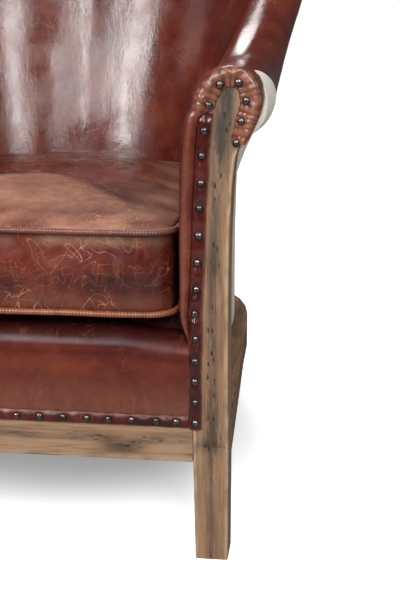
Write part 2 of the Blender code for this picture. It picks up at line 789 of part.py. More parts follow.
def make_front_edge(pad, leather):
    half = INNER_FRONT_X - DECK_SIDE_GAP
    profile = lip_profile(0.0) + [(LIP_DEPTH, FRONT_RAIL_TOP_Z + FIT_GAP)]
    rings = [[(x, y, z) for y, z in profile] for x in (-half, half)]
    loft("front_edge_roll", rings, pad)
    outside = lip_profile(FIT_GAP + LEATHER)
    inside = lip_profile(FIT_GAP)
    hem = FRONT_STRIP_Z - FRONT_STRIP_WIDTH / 2 + 1.0
    outside.insert(0, (outside[0][0], hem))
    inside.insert(0, (inside[0][0] - FIT_GAP, hem))
    inside[1] = (inside[1][0] - FIT_GAP, inside[1][1])
    wide = NAIL_LINE_X - STRIP_WIDTH / 2 - FIT_GAP
    points, faces = [], []
    for (y0, z0), (y1, z1) in zip(outside, inside):
        reach = wide if z0 < DECK_TOP_Z - LIP_RADIUS - 20 else half
        for side in (-1, 1):
            points.append((side * reach, y0, z0))
            points.append((side * reach, y1, z1))
    rows = len(outside)
    for i in range(rows - 1):
        a, b = 4 * i, 4 * (i + 1)
        faces.append((a, a + 2, b + 2, b))
        faces.append((a + 1, b + 1, b + 3, a + 3))
        faces.append((a, b, b + 1, a + 1))
        faces.append((a + 2, a + 3, b + 3, b + 2))
    last = 4 * (rows - 1)
    faces.append((0, 1, 3, 2))
    faces.append((last, last + 2, last + 3, last + 1))
    add_solid("border_leather", points, faces, leather)


def cushion_outline(inset):
    """Plan of the loose cushion: rounded front corners, sides and back along the tub."""
    z = CUSHION_WELT_Z
    stations = 12
    front_x = INNER_FRONT_X - CUSHION_CLEARANCE - inset
    front_y = CUSHION_FRONT_Y + inset
    radius = CUSHION_CORNER - inset
    half = [(0.0, front_y), (front_x * 0.5, front_y)]
    for i in range(5):
        angle = math.radians(-90 + 90 * i / 4)
        half.append((front_x - radius + radius * math.cos(angle), front_y + radius + radius * math.sin(angle)))
    for i in range(1, stations + 1):
        u = i / stations
        half.append(tub_point(1 - u, inner_offset(u, z) - CUSHION_CLEARANCE - inset, 0)[:2])
    return half + [(-x, y) for x, y in reversed(half[1:-1])]


def make_cushion(leather):
    centre_y = (CUSHION_FRONT_Y + INNER_REAR_Y) / 2
    floor = DECK_TOP_Z + FIT_GAP + LEATHER + 2 * FIT_GAP
    wall = WALL_INSET
    levels = (
        (wall + 10, floor),
        (wall, floor + 6),
        (wall, CUSHION_TOP_WELT_Z),
        (wall + CUSHION_EDGE, CUSHION_TOP_WELT_Z + WELT_RADIUS),
    )
    rings = [[(x, y, z) for x, y in cushion_outline(inset)] for inset, z in levels]
    edge = cushion_outline(wall + CUSHION_EDGE)
    for share in (0.82, 0.6, 0.35, 0.12):
        z = CUSHION_TOP_WELT_Z + WELT_RADIUS + CUSHION_CROWN * (1 - share**2.2)
        rings.append([(x * share, centre_y + (y - centre_y) * share, z) for x, y in edge])
    loft("seat_cushion", rings, leather)
    for name, z in (("cushion_welt_bottom", CUSHION_WELT_Z), ("cushion_welt_top", CUSHION_TOP_WELT_Z)):
        make_welt(name, z, leather)


def make_welt(name, z, leather):
    """Piping sewn round the cushion's edge, as a closed loop of six-sided tube."""
    line = cushion_outline(WALL_INSET - WELT_RADIUS - FIT_GAP)
    rings = []
    for i, (x, y) in enumerate(line):
        before = Vector(line[i - 1])
        after = Vector(line[(i + 1) % len(line)])
        tangent = (after - before).normalized()
        normal = Vector((tangent.y, -tangent.x))
        ring = []
        for k in range(6):
            angle = math.radians(60 * k)
            out = WELT_RADIUS * math.cos(angle)
            ring.append((x + normal.x * out, y + normal.y * out, z + WELT_RADIUS * math.sin(angle)))
        rings.append(ring)
    loft(name, rings, leather, closed=True)


def make_tub(wood, pad, leather, cloth):
    seam = 1 - ARM_SEAM
    front = share_at_depth(POST_DEPTH)
    for side, sign in (("right", 1), ("left", -1)):
        arm = (sign * front, sign * (seam + JOINT_GAP_SHARE))
        tub_piece(f"arm_pad_{side}", *arm, ARM_STEPS, pad_section, pad)
        tub_piece(f"arm_leather_{side}", *arm, ARM_STEPS, leather_section, leather)
        tub_piece(f"outside_arm_cloth_{side}", *arm, ARM_STEPS, cover_section, cloth)
        tub_piece(f"arm_rail_{side}", *arm, ARM_STEPS, rail_section, wood)
    back = (-seam, seam)
    tub_piece("back_pad", *back, BACK_STEPS, pad_section, pad)
    tub_piece("back_leather", *back, BACK_STEPS, leather_section, leather)
    tub_piece("outside_back_cloth", *back, BACK_STEPS, cover_section, cloth)
    tub_piece("crest_rail", *back, BACK_STEPS, rail_section, wood)
    for post, place in (("arm_upright", ARM_UPRIGHT_PLACE), ("back_upright", BACK_UPRIGHT_PLACE)):
        both_sides(post, lambda name, sign: tub_piece(
            name, sign * place - UPRIGHT_SPAN, sign * place + UPRIGHT_SPAN, 2, upright_section, wood))


def make_posts(wood, leather):
    for side, sign in (("right", 1), ("left", -1)):
        outline = post_outline()
        roll = front_roll_outline()
        if sign < 0:
            outline, roll = mirrored(outline), mirrored(roll)
        post = prism_y(f"arm_post_{side}", outline, 0.0, POST_DEPTH - FIT_GAP, wood)
        bevel(post, POST_BEVEL, 1)
        prism_y(f"arm_front_roll_{side}", roll, FIT_GAP, POST_DEPTH - FIT_GAP, leather)


def centre_footprint():
    """Moves every object along Y, so that the middle of the chair's box is over the origin."""
    bpy.context.view_layer.update()
    shown = [o for o in bpy.data.objects if not o.hide_render]
    corners = [(o.matrix_world @ Vector(c)).y for o in shown for c in o.bound_box]
    shift = -(min(corners) + max(corners)) / 2
    for obj in bpy.data.objects:
        obj.location.y += shift


def main():
    clear_scene()
    wood = make_material("weathered_wood", WOOD_COLOUR, 0.75)
    leather = make_material("worn_leather", LEATHER_COLOUR, 0.35)
    cloth = make_material("calico", CLOTH_COLOUR, 0.9)
    hessian = make_material("hessian", HESSIAN_COLOUR, 0.95)
    pad = make_material("stuffing", PAD_COLOUR, 0.95)
    black = make_material("dust_cloth", BLACK_CLOTH_COLOUR, 0.95)
    steel = make_material("nail_steel", STEEL_COLOUR, 0.35, 0.9)
    make_rails(wood)
    both_sides("front_leg", lambda name, sign: make_front_leg(name, sign, wood))
    both_sides("rear_leg", lambda name, sign: make_rear_leg(name, sign, wood))
    both_sides("corner_block", lambda name, sign: make_corner_block(name, sign, wood))
    make_posts(wood, leather)
    make_tub(wood, pad, leather, cloth)
    make_webbing(hessian)
    make_springs(steel)
    make_deck(hessian, pad, cloth, black)
    make_front_edge(pad, leather)
    make_cushion(leather)
    both_sides("arm_nail_strip", lambda name, sign: make_arm_strip(name, sign, leather, steel))
    make_front_strip(leather, steel)
    centre_footprint()


main()
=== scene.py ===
"""Looks of the worn club chair: leather, weathered wood, cloth, nails, light and camera.

Shapes are worked out in millimetres in the chair's drawing frame, as in the part's source: X runs to the
right arm, Y runs back from the front face of the posts, Z runs up. make_mesh turns them into metres in the
CAD frame.
"""

import bisect
import math
import random

import bmesh
import bpy
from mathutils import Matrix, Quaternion, Vector, noise


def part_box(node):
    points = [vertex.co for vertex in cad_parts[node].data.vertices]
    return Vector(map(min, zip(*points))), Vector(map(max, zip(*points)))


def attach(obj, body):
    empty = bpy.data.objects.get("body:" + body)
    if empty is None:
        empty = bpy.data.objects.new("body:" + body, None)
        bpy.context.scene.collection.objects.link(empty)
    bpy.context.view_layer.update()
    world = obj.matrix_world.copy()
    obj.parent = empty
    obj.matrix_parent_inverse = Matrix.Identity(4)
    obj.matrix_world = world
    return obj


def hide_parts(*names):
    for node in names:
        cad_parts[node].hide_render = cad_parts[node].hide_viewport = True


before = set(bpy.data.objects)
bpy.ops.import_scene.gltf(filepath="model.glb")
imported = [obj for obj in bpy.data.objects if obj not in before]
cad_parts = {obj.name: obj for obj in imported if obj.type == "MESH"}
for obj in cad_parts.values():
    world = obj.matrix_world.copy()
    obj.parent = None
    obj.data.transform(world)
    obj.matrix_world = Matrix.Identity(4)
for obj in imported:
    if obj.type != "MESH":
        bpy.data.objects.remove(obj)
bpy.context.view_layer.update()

BODY = "root"
MM = 0.001

# Camera: fitted to the photograph, in the drawing frame
CAMERA_PLACE = (428.8, -1275.4, 735.0)
CAMERA_PITCH = math.atan(300 / 1050)
CAMERA_YAW = math.radians(6.87)
CAMERA_LENS = 63.0

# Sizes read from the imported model
FRONT_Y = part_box("arm_post_right")[0].y / MM
POST_OUTER_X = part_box("front_leg_right")[1].x / MM
RING_TOP_Z = (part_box("side_rail_right")[1] / MM).z
LEG_TOP_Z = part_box("arm_post_right")[0].z / MM
FRONT_RAIL_TOP_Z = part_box("front_rail")[1].z / MM
DECK_TOP_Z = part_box("deck_stuffing")[1].z / MM
WELT_LOW_Z, WELT_TOP_Z = (sum(corner.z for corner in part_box(f"cushion_welt_{end}")) / 2 / MM
                          for end in ("bottom", "top"))

# Plan and section of the tub, as in the part's source
POST_WIDTH = 47.5
POST_DEPTH = 50.0
OUTER_SIDE_BACK_X = 300.0
SIDE_BACK_Y = 430.0
OUTER_REAR_Y = 775.0
OUTER_CORNER_POWER = 3.0
INNER_FRONT_X = 248.5
INNER_SIDE_BACK_X = 217.0
INNER_REAR_Y = 602.0
INNER_CORNER_POWER = 2.4
SIDE_SHARE = 0.42
ARM_ROLL_Z = 611.0
CREST_ROLL_Z = 888.0
RISE_START = 0.12
RISE_END = 0.72
CROWN = 12.0
CROWN_START = 0.55
ROLL_RADIUS = ((0.0, 48.0), (0.08, 49.0), (0.2, 45.0), (0.4, 38.0), (0.7, 35.0), (1.0, 34.0))
FLARE = ((0.0, 14.0), (0.07, 26.0), (0.17, 40.0), (0.28, 60.0), (0.4, 74.0), (0.6, 76.0), (1.0, 64.0))
FLARE_HEIGHT = 500.0
WRAP_END_DEG = (
    (0.0, 62.0), (0.05, 48.0), (0.1, 22.0), (0.15, -8.0), (0.25, -30.0), (0.38, -36.0), (1.0, -38.0),
)
SEAM_DEG = 1.5
TUCK_DEG = -64.0
LEDGE = 26.0
ARM_SEAM = 0.44
CLOTH = 1.6
TABLE_STEPS = 400

# Cushion, as in the part's source
CUSHION_CLEARANCE = 4.0
CUSHION_FRONT_Y = -12.0
CUSHION_CORNER = 42.0
CUSHION_CROWN = 33.0
WELT_RADIUS = 4.2

# Nails, by the part's source
NAIL_LINE_X = 268.3
NAIL_RADIUS = 5.3
NAIL_HEIGHT = 4.2
FRONT_STRIP_Z = 199.0
STRIP_WIDTH = 17.5
FRONT_STRIP_WIDTH = 15.0


# Shape helpers


def make_mesh(name, points, faces, material, angle=40.0):
    """One piece from points in the drawing frame."""
    mesh = bpy.data.meshes.new(name)
    mesh.from_pydata([(x * MM, (y + FRONT_Y) * MM, z * MM) for x, y, z in points], [], faces)
    body = bmesh.new()
    body.from_mesh(mesh)
    bmesh.ops.recalc_face_normals(body, faces=body.faces)
    body.to_mesh(mesh)
    body.free()
    mesh.shade_smooth()
    mesh.set_sharp_from_angle(angle=math.radians(angle))
    obj = bpy.data.objects.new(name, mesh)
    bpy.context.scene.collection.objects.link(obj)
    mesh.materials.append(material)
    return obj


def loft(name, rings, material, closed=False, angle=40.0):
    """A closed skin through rings of the same number of points, with its ends filled unless it closes."""
    count = len(rings[0])
    points = [p for ring in rings for p in ring]
    faces = []
    last = len(rings) if closed else len(rings) - 1
    for i in range(last):
        here = i * count
        there = ((i + 1) % len(rings)) * count
        for j in range(count):
            k = (j + 1) % count
            faces.append((here + j, here + k, there + k, there + j))
    if not closed:
        faces.append(tuple(range(count)))
        faces.append(tuple(range((len(rings) - 1) * count, len(rings) * count)))
    return make_mesh(name, points, faces, material, angle)


def settle(piece, nodes):
    """The piece rides on the body and stands for its CAD nodes, if it has any."""
    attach(piece, BODY)
    if nodes:
        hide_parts(*nodes)


def painted_leather(name, rings, material, nodes, closed=False, **painted):
    """A leather piece through rings, with the values that its material reads."""
    piece = loft(name, rings, material, closed)
    for value, values in painted.items():
        paint(piece, value, values)
    settle(piece, nodes)
    return piece


def smoothstep(t):
    t = min(max(t, 0.0), 1.0)
    return t * t * (3 - 2 * t)


def ease(value, start, length):
    """0 up to the start, rising smoothly to 1 over a length."""
    return smoothstep((value - start) / length)


def bump(x, centre, width):
    """1 at the centre, falling smoothly to 0 at a width to either side."""
    return 1 - smoothstep(abs(x - centre) / width)


def steps(low, high, count):
    return [low + (high - low) * i / count for i in range(count + 1)]


def rough(x, y, z, scale, seed=0.0):
    """Smooth noise from about -1 to 1 at a scale in millimetres."""
    return noise.noise(Vector((x / scale + seed, y / scale - seed * 0.7, z / scale + seed * 1.3)))


def through(knots, u):
    """A smooth value through the knots (place, value), by Catmull-Rom."""
    last = len(knots) - 1
    u = min(max(u, knots[0][0]), knots[last][0])
    i = max(k for k in range(last) if knots[k][0] <= u)
    (u1, v1), (u2, v2) = knots[i], knots[i + 1]
    u0, v0 = knots[max(i - 1, 0)]
    u3, v3 = knots[min(i + 2, last)]
    slope1 = (v2 - v0) / (u2 - u0)
    slope2 = (v3 - v1) / (u3 - u1)
    span = u2 - u1
    t = (u - u1) / span
    return (
        (2 * t**3 - 3 * t**2 + 1) * v1
        + (t**3 - 2 * t**2 + t) * span * slope1
        + (3 * t**2 - 2 * t**3) * v2
        + (t**3 - t**2) * span * slope2
    )


def curve_points(points, spacing):
    """Points about a spacing apart on a smooth curve through the given 2D points."""
    knots = [(0.0, points[0])]
    for (x0, z0), (x1, z1) in zip(points, points[1:]):
        knots.append((knots[-1][0] + math.hypot(x1 - x0, z1 - z0), (x1, z1)))
    xs = [(s, p[0]) for s, p in knots]
    zs = [(s, p[1]) for s, p in knots]
    count = max(2, round(knots[-1][0] / spacing))
    return [(through(xs, s), through(zs, s)) for s in steps(0.0, knots[-1][0], count)]


def path_length(points):
    points = list(points)
    return sum(math.dist(a, b) for a, b in zip(points, points[1:]))


def along(path, distance):
    """The point of a polyline at a distance from its start, with its direction there."""
    for a, b in zip(path, path[1:]):
        step = math.dist(a, b)
        if distance <= step or b == path[-1]:
            t = distance / step
            spot = tuple(p + (q - p) * t for p, q in zip(a, b))
            return spot, tuple((q - p) / step for p, q in zip(a, b))
        distance -= step


# The tub's plan and section


def corner_table(half_width, depth, power):
    """Points of a quarter superellipse behind SIDE_BACK_Y, with the length run so far at each."""
    table = [(0.0, half_width, SIDE_BACK_Y)]
    for i in range(1, TABLE_STEPS + 1):
        angle = math.pi / 2 * (i / TABLE_STEPS) ** power
        x = half_width * max(math.cos(angle), 0.0) ** (2 / power)
        y = SIDE_BACK_Y + depth * math.sin(angle) ** (2 / power)
        run, x0, y0 = table[-1]
        table.append((run + math.hypot(x - x0, y - y0), x, y))
    return table


def at_share(table, share):
    """The outline's point at a share of its length."""
    target = share * table[-1][0]
    low = min(max(bisect.bisect_right(table, target, key=lambda row: row[0]) - 1, 0), len(table) - 2)
    (run0, x0, y0), (run1, x1, y1) = table[low], table[low + 1]
    t = min(max((target - run0) / (run1 - run0), 0.0), 1.0)
    return x0 + (x1 - x0) * t, y0 + (y1 - y0) * t


OUTER_CORNER = corner_table(OUTER_SIDE_BACK_X, OUTER_REAR_Y - SIDE_BACK_Y, OUTER_CORNER_POWER)
INNER_CORNER = corner_table(INNER_SIDE_BACK_X, INNER_REAR_Y - SIDE_BACK_Y, INNER_CORNER_POWER)


def plan_point(u, front_x, back_x, corner):
    if u <= SIDE_SHARE:
        t = u / SIDE_SHARE
        return front_x + (back_x - front_x) * t, POST_DEPTH + (SIDE_BACK_Y - POST_DEPTH) * t
    return at_share(corner, (u - SIDE_SHARE) / (1 - SIDE_SHARE))


def tub_frame(u):
    """The ring's outline point, the way outwards there and the wall's depth, u running back from the post."""
    x0, y0 = plan_point(u, POST_OUTER_X, OUTER_SIDE_BACK_X, OUTER_CORNER)
    x1, y1 = plan_point(u, INNER_FRONT_X, INNER_SIDE_BACK_X, INNER_CORNER)
    depth = math.hypot(x0 - x1, y0 - y1)
    return x0, y0, (x0 - x1) / depth, (y0 - y1) / depth, depth


FRAMES = {}


def frame_at(u):
    key = round(u, 6)
    if key not in FRAMES:
        FRAMES[key] = tub_frame(u)
    return FRAMES[key]


def tub_point(t, offset, z):
    """A point at a height, offset outwards from the ring's outline. t is 1 at the right arm's front,
    0 at mid back and -1 at the left arm's front."""
    x0, y0, out_x, out_y, _ = frame_at(1 - abs(t))
    x = x0 + out_x * offset
    return (x if t > 0 else -x), y0 + out_y * offset, z


def roll_z(u):
    rise = smoothstep((u - RISE_START) / (RISE_END - RISE_START))
    crown = CROWN * smoothstep((u - CROWN_START) / (1 - CROWN_START))
    return ARM_ROLL_Z + (CREST_ROLL_Z - ARM_ROLL_Z) * rise + crown


def roll_radius(u):
    return through(ROLL_RADIUS, u)


def inner_offset(u, z):
    flare = through(FLARE, u) * ((z - RING_TOP_Z) / FLARE_HEIGHT) ** 2
    return flare - frame_at(u)[4]


def roll_offset(u):
    return inner_offset(u, roll_z(u)) + roll_radius(u)


def arc(u, radius, start_deg, end_deg, count):
    """Points round the rolled edge. 180 degrees faces the sitter, 90 up and 0 outwards."""
    centre = roll_offset(u)
    found = []
    for angle in steps(math.radians(start_deg), math.radians(end_deg), count):
        found.append((centre + radius * math.cos(angle), roll_z(u) + radius * math.sin(angle)))
    return found


def cover_offset(u, z):
    top, top_z = arc(u, roll_radius(u), TUCK_DEG, TUCK_DEG, 1)[0]
    t = min(max((z - RING_TOP_Z) / (top_z - RING_TOP_Z), 0.0), 1.0)
    return -LEDGE + (top + LEDGE) * t**4


# Materials


class Nodes:
    """A short way to build a material's node tree."""

    def __init__(self, name):
        self.material = bpy.data.materials.new(name)
        self.material.use_nodes = True
        self.tree = self.material.node_tree
        self.shader = self.tree.nodes["Principled BSDF"]

    def add(self, kind, **values):
        node = self.tree.nodes.new(kind)
        for key, value in values.items():
            if key in node.inputs:
                node.inputs[key].default_value = value
            else:
                setattr(node, key, value)
        return node

    def link(self, source, target):
        self.tree.links.new(source, target)

    def place(self, scale=(1, 1, 1), turn=(0, 0, 0), shift=(0, 0, 0), kind="POINT"):
        """Object coordinates, in metres times the scale."""
        coordinates = self.add("ShaderNodeTexCoord")
        mapping = self.add("ShaderNodeMapping", vector_type=kind)
        mapping.inputs["Scale"].default_value = scale
        mapping.inputs["Rotation"].default_value = turn
        mapping.inputs["Location"].default_value = shift
        self.link(coordinates.outputs["Object"], mapping.inputs["Vector"])
        return mapping.outputs["Vector"]

    def stretched(self, lengths, turn):
        """Object coordinates in a turned frame, drawn out along its axes by the lengths."""
        return self.place(scale=lengths, turn=turn, kind="TEXTURE")

    def noise(self, vector, scale, detail=4.0, rough=0.55, distortion=0.0):
        values = {"Scale": scale, "Detail": detail, "Roughness": rough, "Distortion": distortion}
        node = self.add("ShaderNodeTexNoise", **values)
        self.link(vector, node.inputs["Vector"])
        return node.outputs["Fac"]

    def voronoi(self, vector, scale, feature="F1", randomness=1.0):
        node = self.add("ShaderNodeTexVoronoi", feature=feature, Scale=scale, Randomness=randomness)
        self.link(vector, node.inputs["Vector"])
        return node.outputs["Distance"]

    def bend(self, vector, scale, amount):
        """A vector pushed about by noise."""
        wander = self.add("ShaderNodeTexNoise", Scale=scale, Detail=2.0)
        self.link(vector, wander.inputs["Vector"])
        centred = self.add("ShaderNodeVectorMath", operation="SUBTRACT")
        self.link(wander.outputs["Color"], centred.inputs[0])
        centred.inputs[1].default_value = (0.5, 0.5, 0.5)
        push = self.add("ShaderNodeVectorMath", operation="MULTIPLY_ADD")
        self.link(centred.outputs[0], push.inputs[0])
        push.inputs[1].default_value = (amount, amount, amount)
        self.link(vector, push.inputs[2])
        return push.outputs[0]

    def give(self, value, socket):
        """Sets a socket to a plain value or a colour, or links another socket to it."""
        if isinstance(value, tuple):
            socket.default_value = (*value, 1.0)
        elif isinstance(value, (int, float)):
            socket.default_value = value
        else:
            self.link(value, socket)

    def math(self, operation, a, b=0.0, c=0.0, clamp=False):
        node = self.add("ShaderNodeMath", operation=operation, use_clamp=clamp)
        for socket, value in zip(node.inputs, (a, b, c)):
            self.give(value, socket)
        return node.outputs[0]

    def times(self, a, b, clamp=False):
        return self.math("MULTIPLY", a, b, clamp=clamp)

    def plus(self, a, b, clamp=False):
        return self.math("ADD", a, b, clamp=clamp)

    def most(self, first, *others):
        for other in others:
            first = self.math("MAXIMUM", first, other)
        return first

    def weighed(self, *pairs):
        """The sum of the values, each times its weight."""
        total = self.times(*pairs[0])
        for value, weight in pairs[1:]:
            total = self.math("MULTIPLY_ADD", value, weight, total)
        return total

    def ramp(self, value, low, high, to_low=0.0, to_high=1.0):
        """A smooth step of the value from low to high."""
        node = self.add("ShaderNodeMapRange", interpolation_type="SMOOTHSTEP")
        for key, number in (("From Min", low), ("From Max", high), ("To Min", to_low), ("To Max", to_high)):
            node.inputs[key].default_value = number
        self.link(value, node.inputs["Value"])
        return node.outputs["Result"]

    def colours(self, value, *stops):
        node = self.add("ShaderNodeValToRGB")
        ramp = node.color_ramp
        while len(ramp.elements) < len(stops):
            ramp.elements.new(0.5)
        for element, (place, colour) in zip(ramp.elements, stops):
            element.position = place
            element.color = (*colour, 1.0)
        self.link(value, node.inputs["Fac"])
        return node.outputs["Color"]

    def mix(self, share, a, b):
        """Mixes two colours. share, a and b are sockets or plain values."""
        node = self.add("ShaderNodeMix", data_type="RGBA")
        for index, value in ((0, share), (6, a), (7, b)):
            self.give(value, node.inputs[index])
        return node.outputs[2]

    def lines(self, vector, scale, width, detail=1.5, distortion=0.0):
        """Thin wandering lines where a noise crosses its middle value."""
        value = self.noise(vector, scale, detail=detail, distortion=distortion)
        away = self.math("ABSOLUTE", self.math("SUBTRACT", value, 0.5))
        return self.ramp(away, 0.0, width, 1.0, 0.0)

    def painted(self, name):
        """A value that is painted on the mesh, 0 where there is none."""
        return self.add("ShaderNodeAttribute", attribute_name=name).outputs["Fac"]

    def finish(self, colour, roughness, height, strength=0.3, distance=0.001):
        """Colour, roughness and fine relief of the material. The distance is in metres."""
        self.link(colour, self.shader.inputs["Base Color"])
        self.give(roughness, self.shader.inputs["Roughness"])
        node = self.add("ShaderNodeBump", Strength=strength, Distance=distance)
        self.link(height, node.inputs["Height"])
        self.link(node.outputs["Normal"], self.shader.inputs["Normal"])
        return self.material


# Colours of the leather, from dark to light
DEEP = (0.034, 0.0048, 0.0040)
OXBLOOD = (0.082, 0.0110, 0.0070)
CHESTNUT = (0.145, 0.0290, 0.0130)
AMBER = (0.250, 0.0720, 0.0260)
SCRATCH = (0.470, 0.215, 0.105)
DUSTY = (0.245, 0.118, 0.070)
COAT_ROUGHNESS = 0.22
# Scratches: lengths and turn of their frame, scale and amount of their bend, and how dense they are
HAIRS = (
    ((3.2, 0.6, 0.6), (0.0, -0.35, 0.6), 9.0, 0.05, 26.0),
    ((0.6, 0.7, 2.6), (-0.3, 0.27, 0.0), 9.0, 0.05, 24.0),
    ((2.8, 0.6, 0.7), (0.0, 0.45, -0.35), 8.0, 0.06, 30.0),
)
HAIR_WIDTH = 0.008
# Cracks: scale, width and strength of each web
CRACK_WEBS = ((30.0, 0.009, 0.46), (70.0, 0.015, 0.40))


def leather_marks(n, here, scratches, crackle):
    """Fine scratches in three directions, and a web of cracks where "cracked" is painted on the mesh."""
    hairs = []
    for lengths, turn, bend_scale, bend, scale in HAIRS:
        hairs.append(n.lines(n.bend(n.stretched(lengths, turn), bend_scale, bend), scale, HAIR_WIDTH))
    cracked = n.painted("cracked")
    where = n.ramp(n.noise(here, 12.0, detail=3.0), 0.60 - 0.22 * scratches, 0.72 - 0.1 * scratches)
    where = n.most(where, n.times(cracked, 0.8))
    marks = n.times(n.times(n.most(*hairs), where), min(1.0, 0.85 * scratches + 0.1))
    web = n.bend(n.bend(n.stretched((0.7, 0.9, 1.3), (0.0, 0.35, 0.2)), 30.0, 0.012), 160.0, 0.004)
    cells = []
    for scale, width, strength in CRACK_WEBS:
        cells.append(n.ramp(n.voronoi(web, scale, "DISTANCE_TO_EDGE"), 0.0, width, strength, 0.0))
    torn = n.ramp(n.noise(here, 11.0, detail=3.0, rough=0.5), 0.36, 0.66)
    cells = n.times(n.times(n.most(*cells), torn), n.plus(cracked, crackle, clamp=True))
    return n.most(marks, cells)


def leather_colour(n, here, tone, mottle):
    """Mottled oxblood to amber, with paler strokes."""
    cloudy = n.noise(here, 7.0, rough=0.5, distortion=0.4)
    patch = n.noise(n.place(shift=(3.1, 1.7, 0.4)), 38.0, detail=5.0, rough=0.6, distortion=0.3)
    shade = n.math("MULTIPLY_ADD", n.weighed((cloudy, 0.6), (patch, 0.4)), mottle, 0.5 * (1 - mottle) + tone)
    # Painted "dark" deepens the tone: painted shade on most pieces, and the darker unworn rear of the
    # cushion's top.
    shade = n.math("MULTIPLY_ADD", n.painted("dark"), -0.22, shade)
    colour = n.colours(shade, (0.28, DEEP), (0.43, OXBLOOD), (0.56, CHESTNUT), (0.76, AMBER))
    brush = n.bend(n.place(scale=(2.4, 2.4, 0.7), turn=(0.25, 0.35, 0.2)), 6.0, 0.12)
    strokes = n.noise(brush, 15.0, detail=6.0, rough=0.75)
    return n.mix(n.ramp(strokes, 0.54, 0.74, 0.0, 0.5), colour, AMBER)


def leather(name, tone=0.0, scratches=0.5, crackle=0.0, gloss=0.30, bumpy=0.18, rubbed=DUSTY, coat=0.10,
            brushed=0.0, specular=0.5, mottle=1.0):
    """Waxed pull-up leather with pale scratches, cracks and pores. What is painted "worn" on the mesh turns
    it to the rubbed colour, and on the cushion's upper wall it also stands in for a painted sheen; "dark"
    deepens it, as painted shade in creases, dips, tucks and under the cushion, and on the cushion's top as
    its darker unworn rear; "cracked" brings cracks and "matt" takes its shine."""
    n = Nodes(f"leather_{name}")
    here = n.place()
    mottled = n.ramp(n.noise(here, 55.0, detail=6.0, rough=0.7), 0.30, 0.70, 0.55, 1.0)
    dull = n.times(n.painted("worn"), mottled, clamp=True)
    marks = leather_marks(n, here, scratches, crackle)
    colour = n.mix(dull, leather_colour(n, here, tone, mottle), rubbed)
    colour = n.mix(marks, colour, SCRATCH)

    pores = n.voronoi(here, 950.0)
    grain = n.noise(here, 380.0)
    soft = n.noise(here, 60.0, rough=0.6)
    strands = n.noise(n.place(scale=(1.0, 1.0, 0.13)), 130.0, detail=5.0, rough=0.65)
    height = n.weighed((pores, 0.08), (grain, 0.35), (soft, 1.3), (strands, brushed), (marks, -0.5))
    roughness = n.ramp(n.noise(here, 19.0, detail=5.0, rough=0.65), 0.3, 0.7, gloss - 0.07, gloss + 0.10)
    duller = n.weighed((dull, 0.15), (n.painted("matt"), 0.36), (marks, 0.15))
    roughness = n.plus(roughness, duller, clamp=True)
    n.shader.inputs["Specular IOR Level"].default_value = specular
    n.shader.inputs["Coat Weight"].default_value = coat
    n.shader.inputs["Coat Roughness"].default_value = COAT_ROUGHNESS
    return n.finish(colour, roughness, height, strength=bumpy, distance=0.0012)


# Colours of the wood
TAN = (0.215, 0.122, 0.068)
PALE_TAN = (0.320, 0.198, 0.118)
BROWN = (0.095, 0.052, 0.029)
GREY = (0.100, 0.082, 0.062)
BLACKENED = (0.016, 0.012, 0.009)
STAIN = (0.036, 0.029, 0.023)
EDGE_TAN = (0.430, 0.300, 0.195)
GRAIN_LONG = 2.4
GRAIN_ACROSS = 46.0
AXES = "XYZ"


def along_grain(n, axis, factor=1.0, shift=(0, 0, 0), run=GRAIN_LONG):
    """Coordinates in which noise runs out into streaks along an axis."""
    scale = tuple(factor * (run if other == axis else GRAIN_ACROSS) for other in AXES)
    return n.place(scale=scale, shift=shift)


def wood_holes(n, here, axis, holes, streak):
    """Worm holes and drying checks."""
    scale = tuple(0.35 if other == axis else 1.0 for other in AXES)
    dots = n.ramp(n.voronoi(n.place(scale=scale), 165.0), 0.17, 0.30, 1.0, 0.0)
    infested = n.noise(along_grain(n, axis, 0.5, run=4.0), 0.8, detail=3.0)
    infested = n.ramp(infested, 0.66 - 0.16 * holes, 0.72 - 0.1 * holes)
    infested = n.most(infested, n.ramp(streak, 0.25, 0.8))
    infested = n.times(infested, n.ramp(n.noise(here, 90.0, detail=2.0), 0.36, 0.46))
    checks = n.lines(along_grain(n, axis, 0.9), 1.0, 0.007, detail=2.0, distortion=0.3)
    checks = n.times(checks, n.ramp(n.noise(here, 14.0), 0.48, 0.62))
    return n.most(n.times(n.times(dots, infested), 0.92), n.times(checks, 0.75))


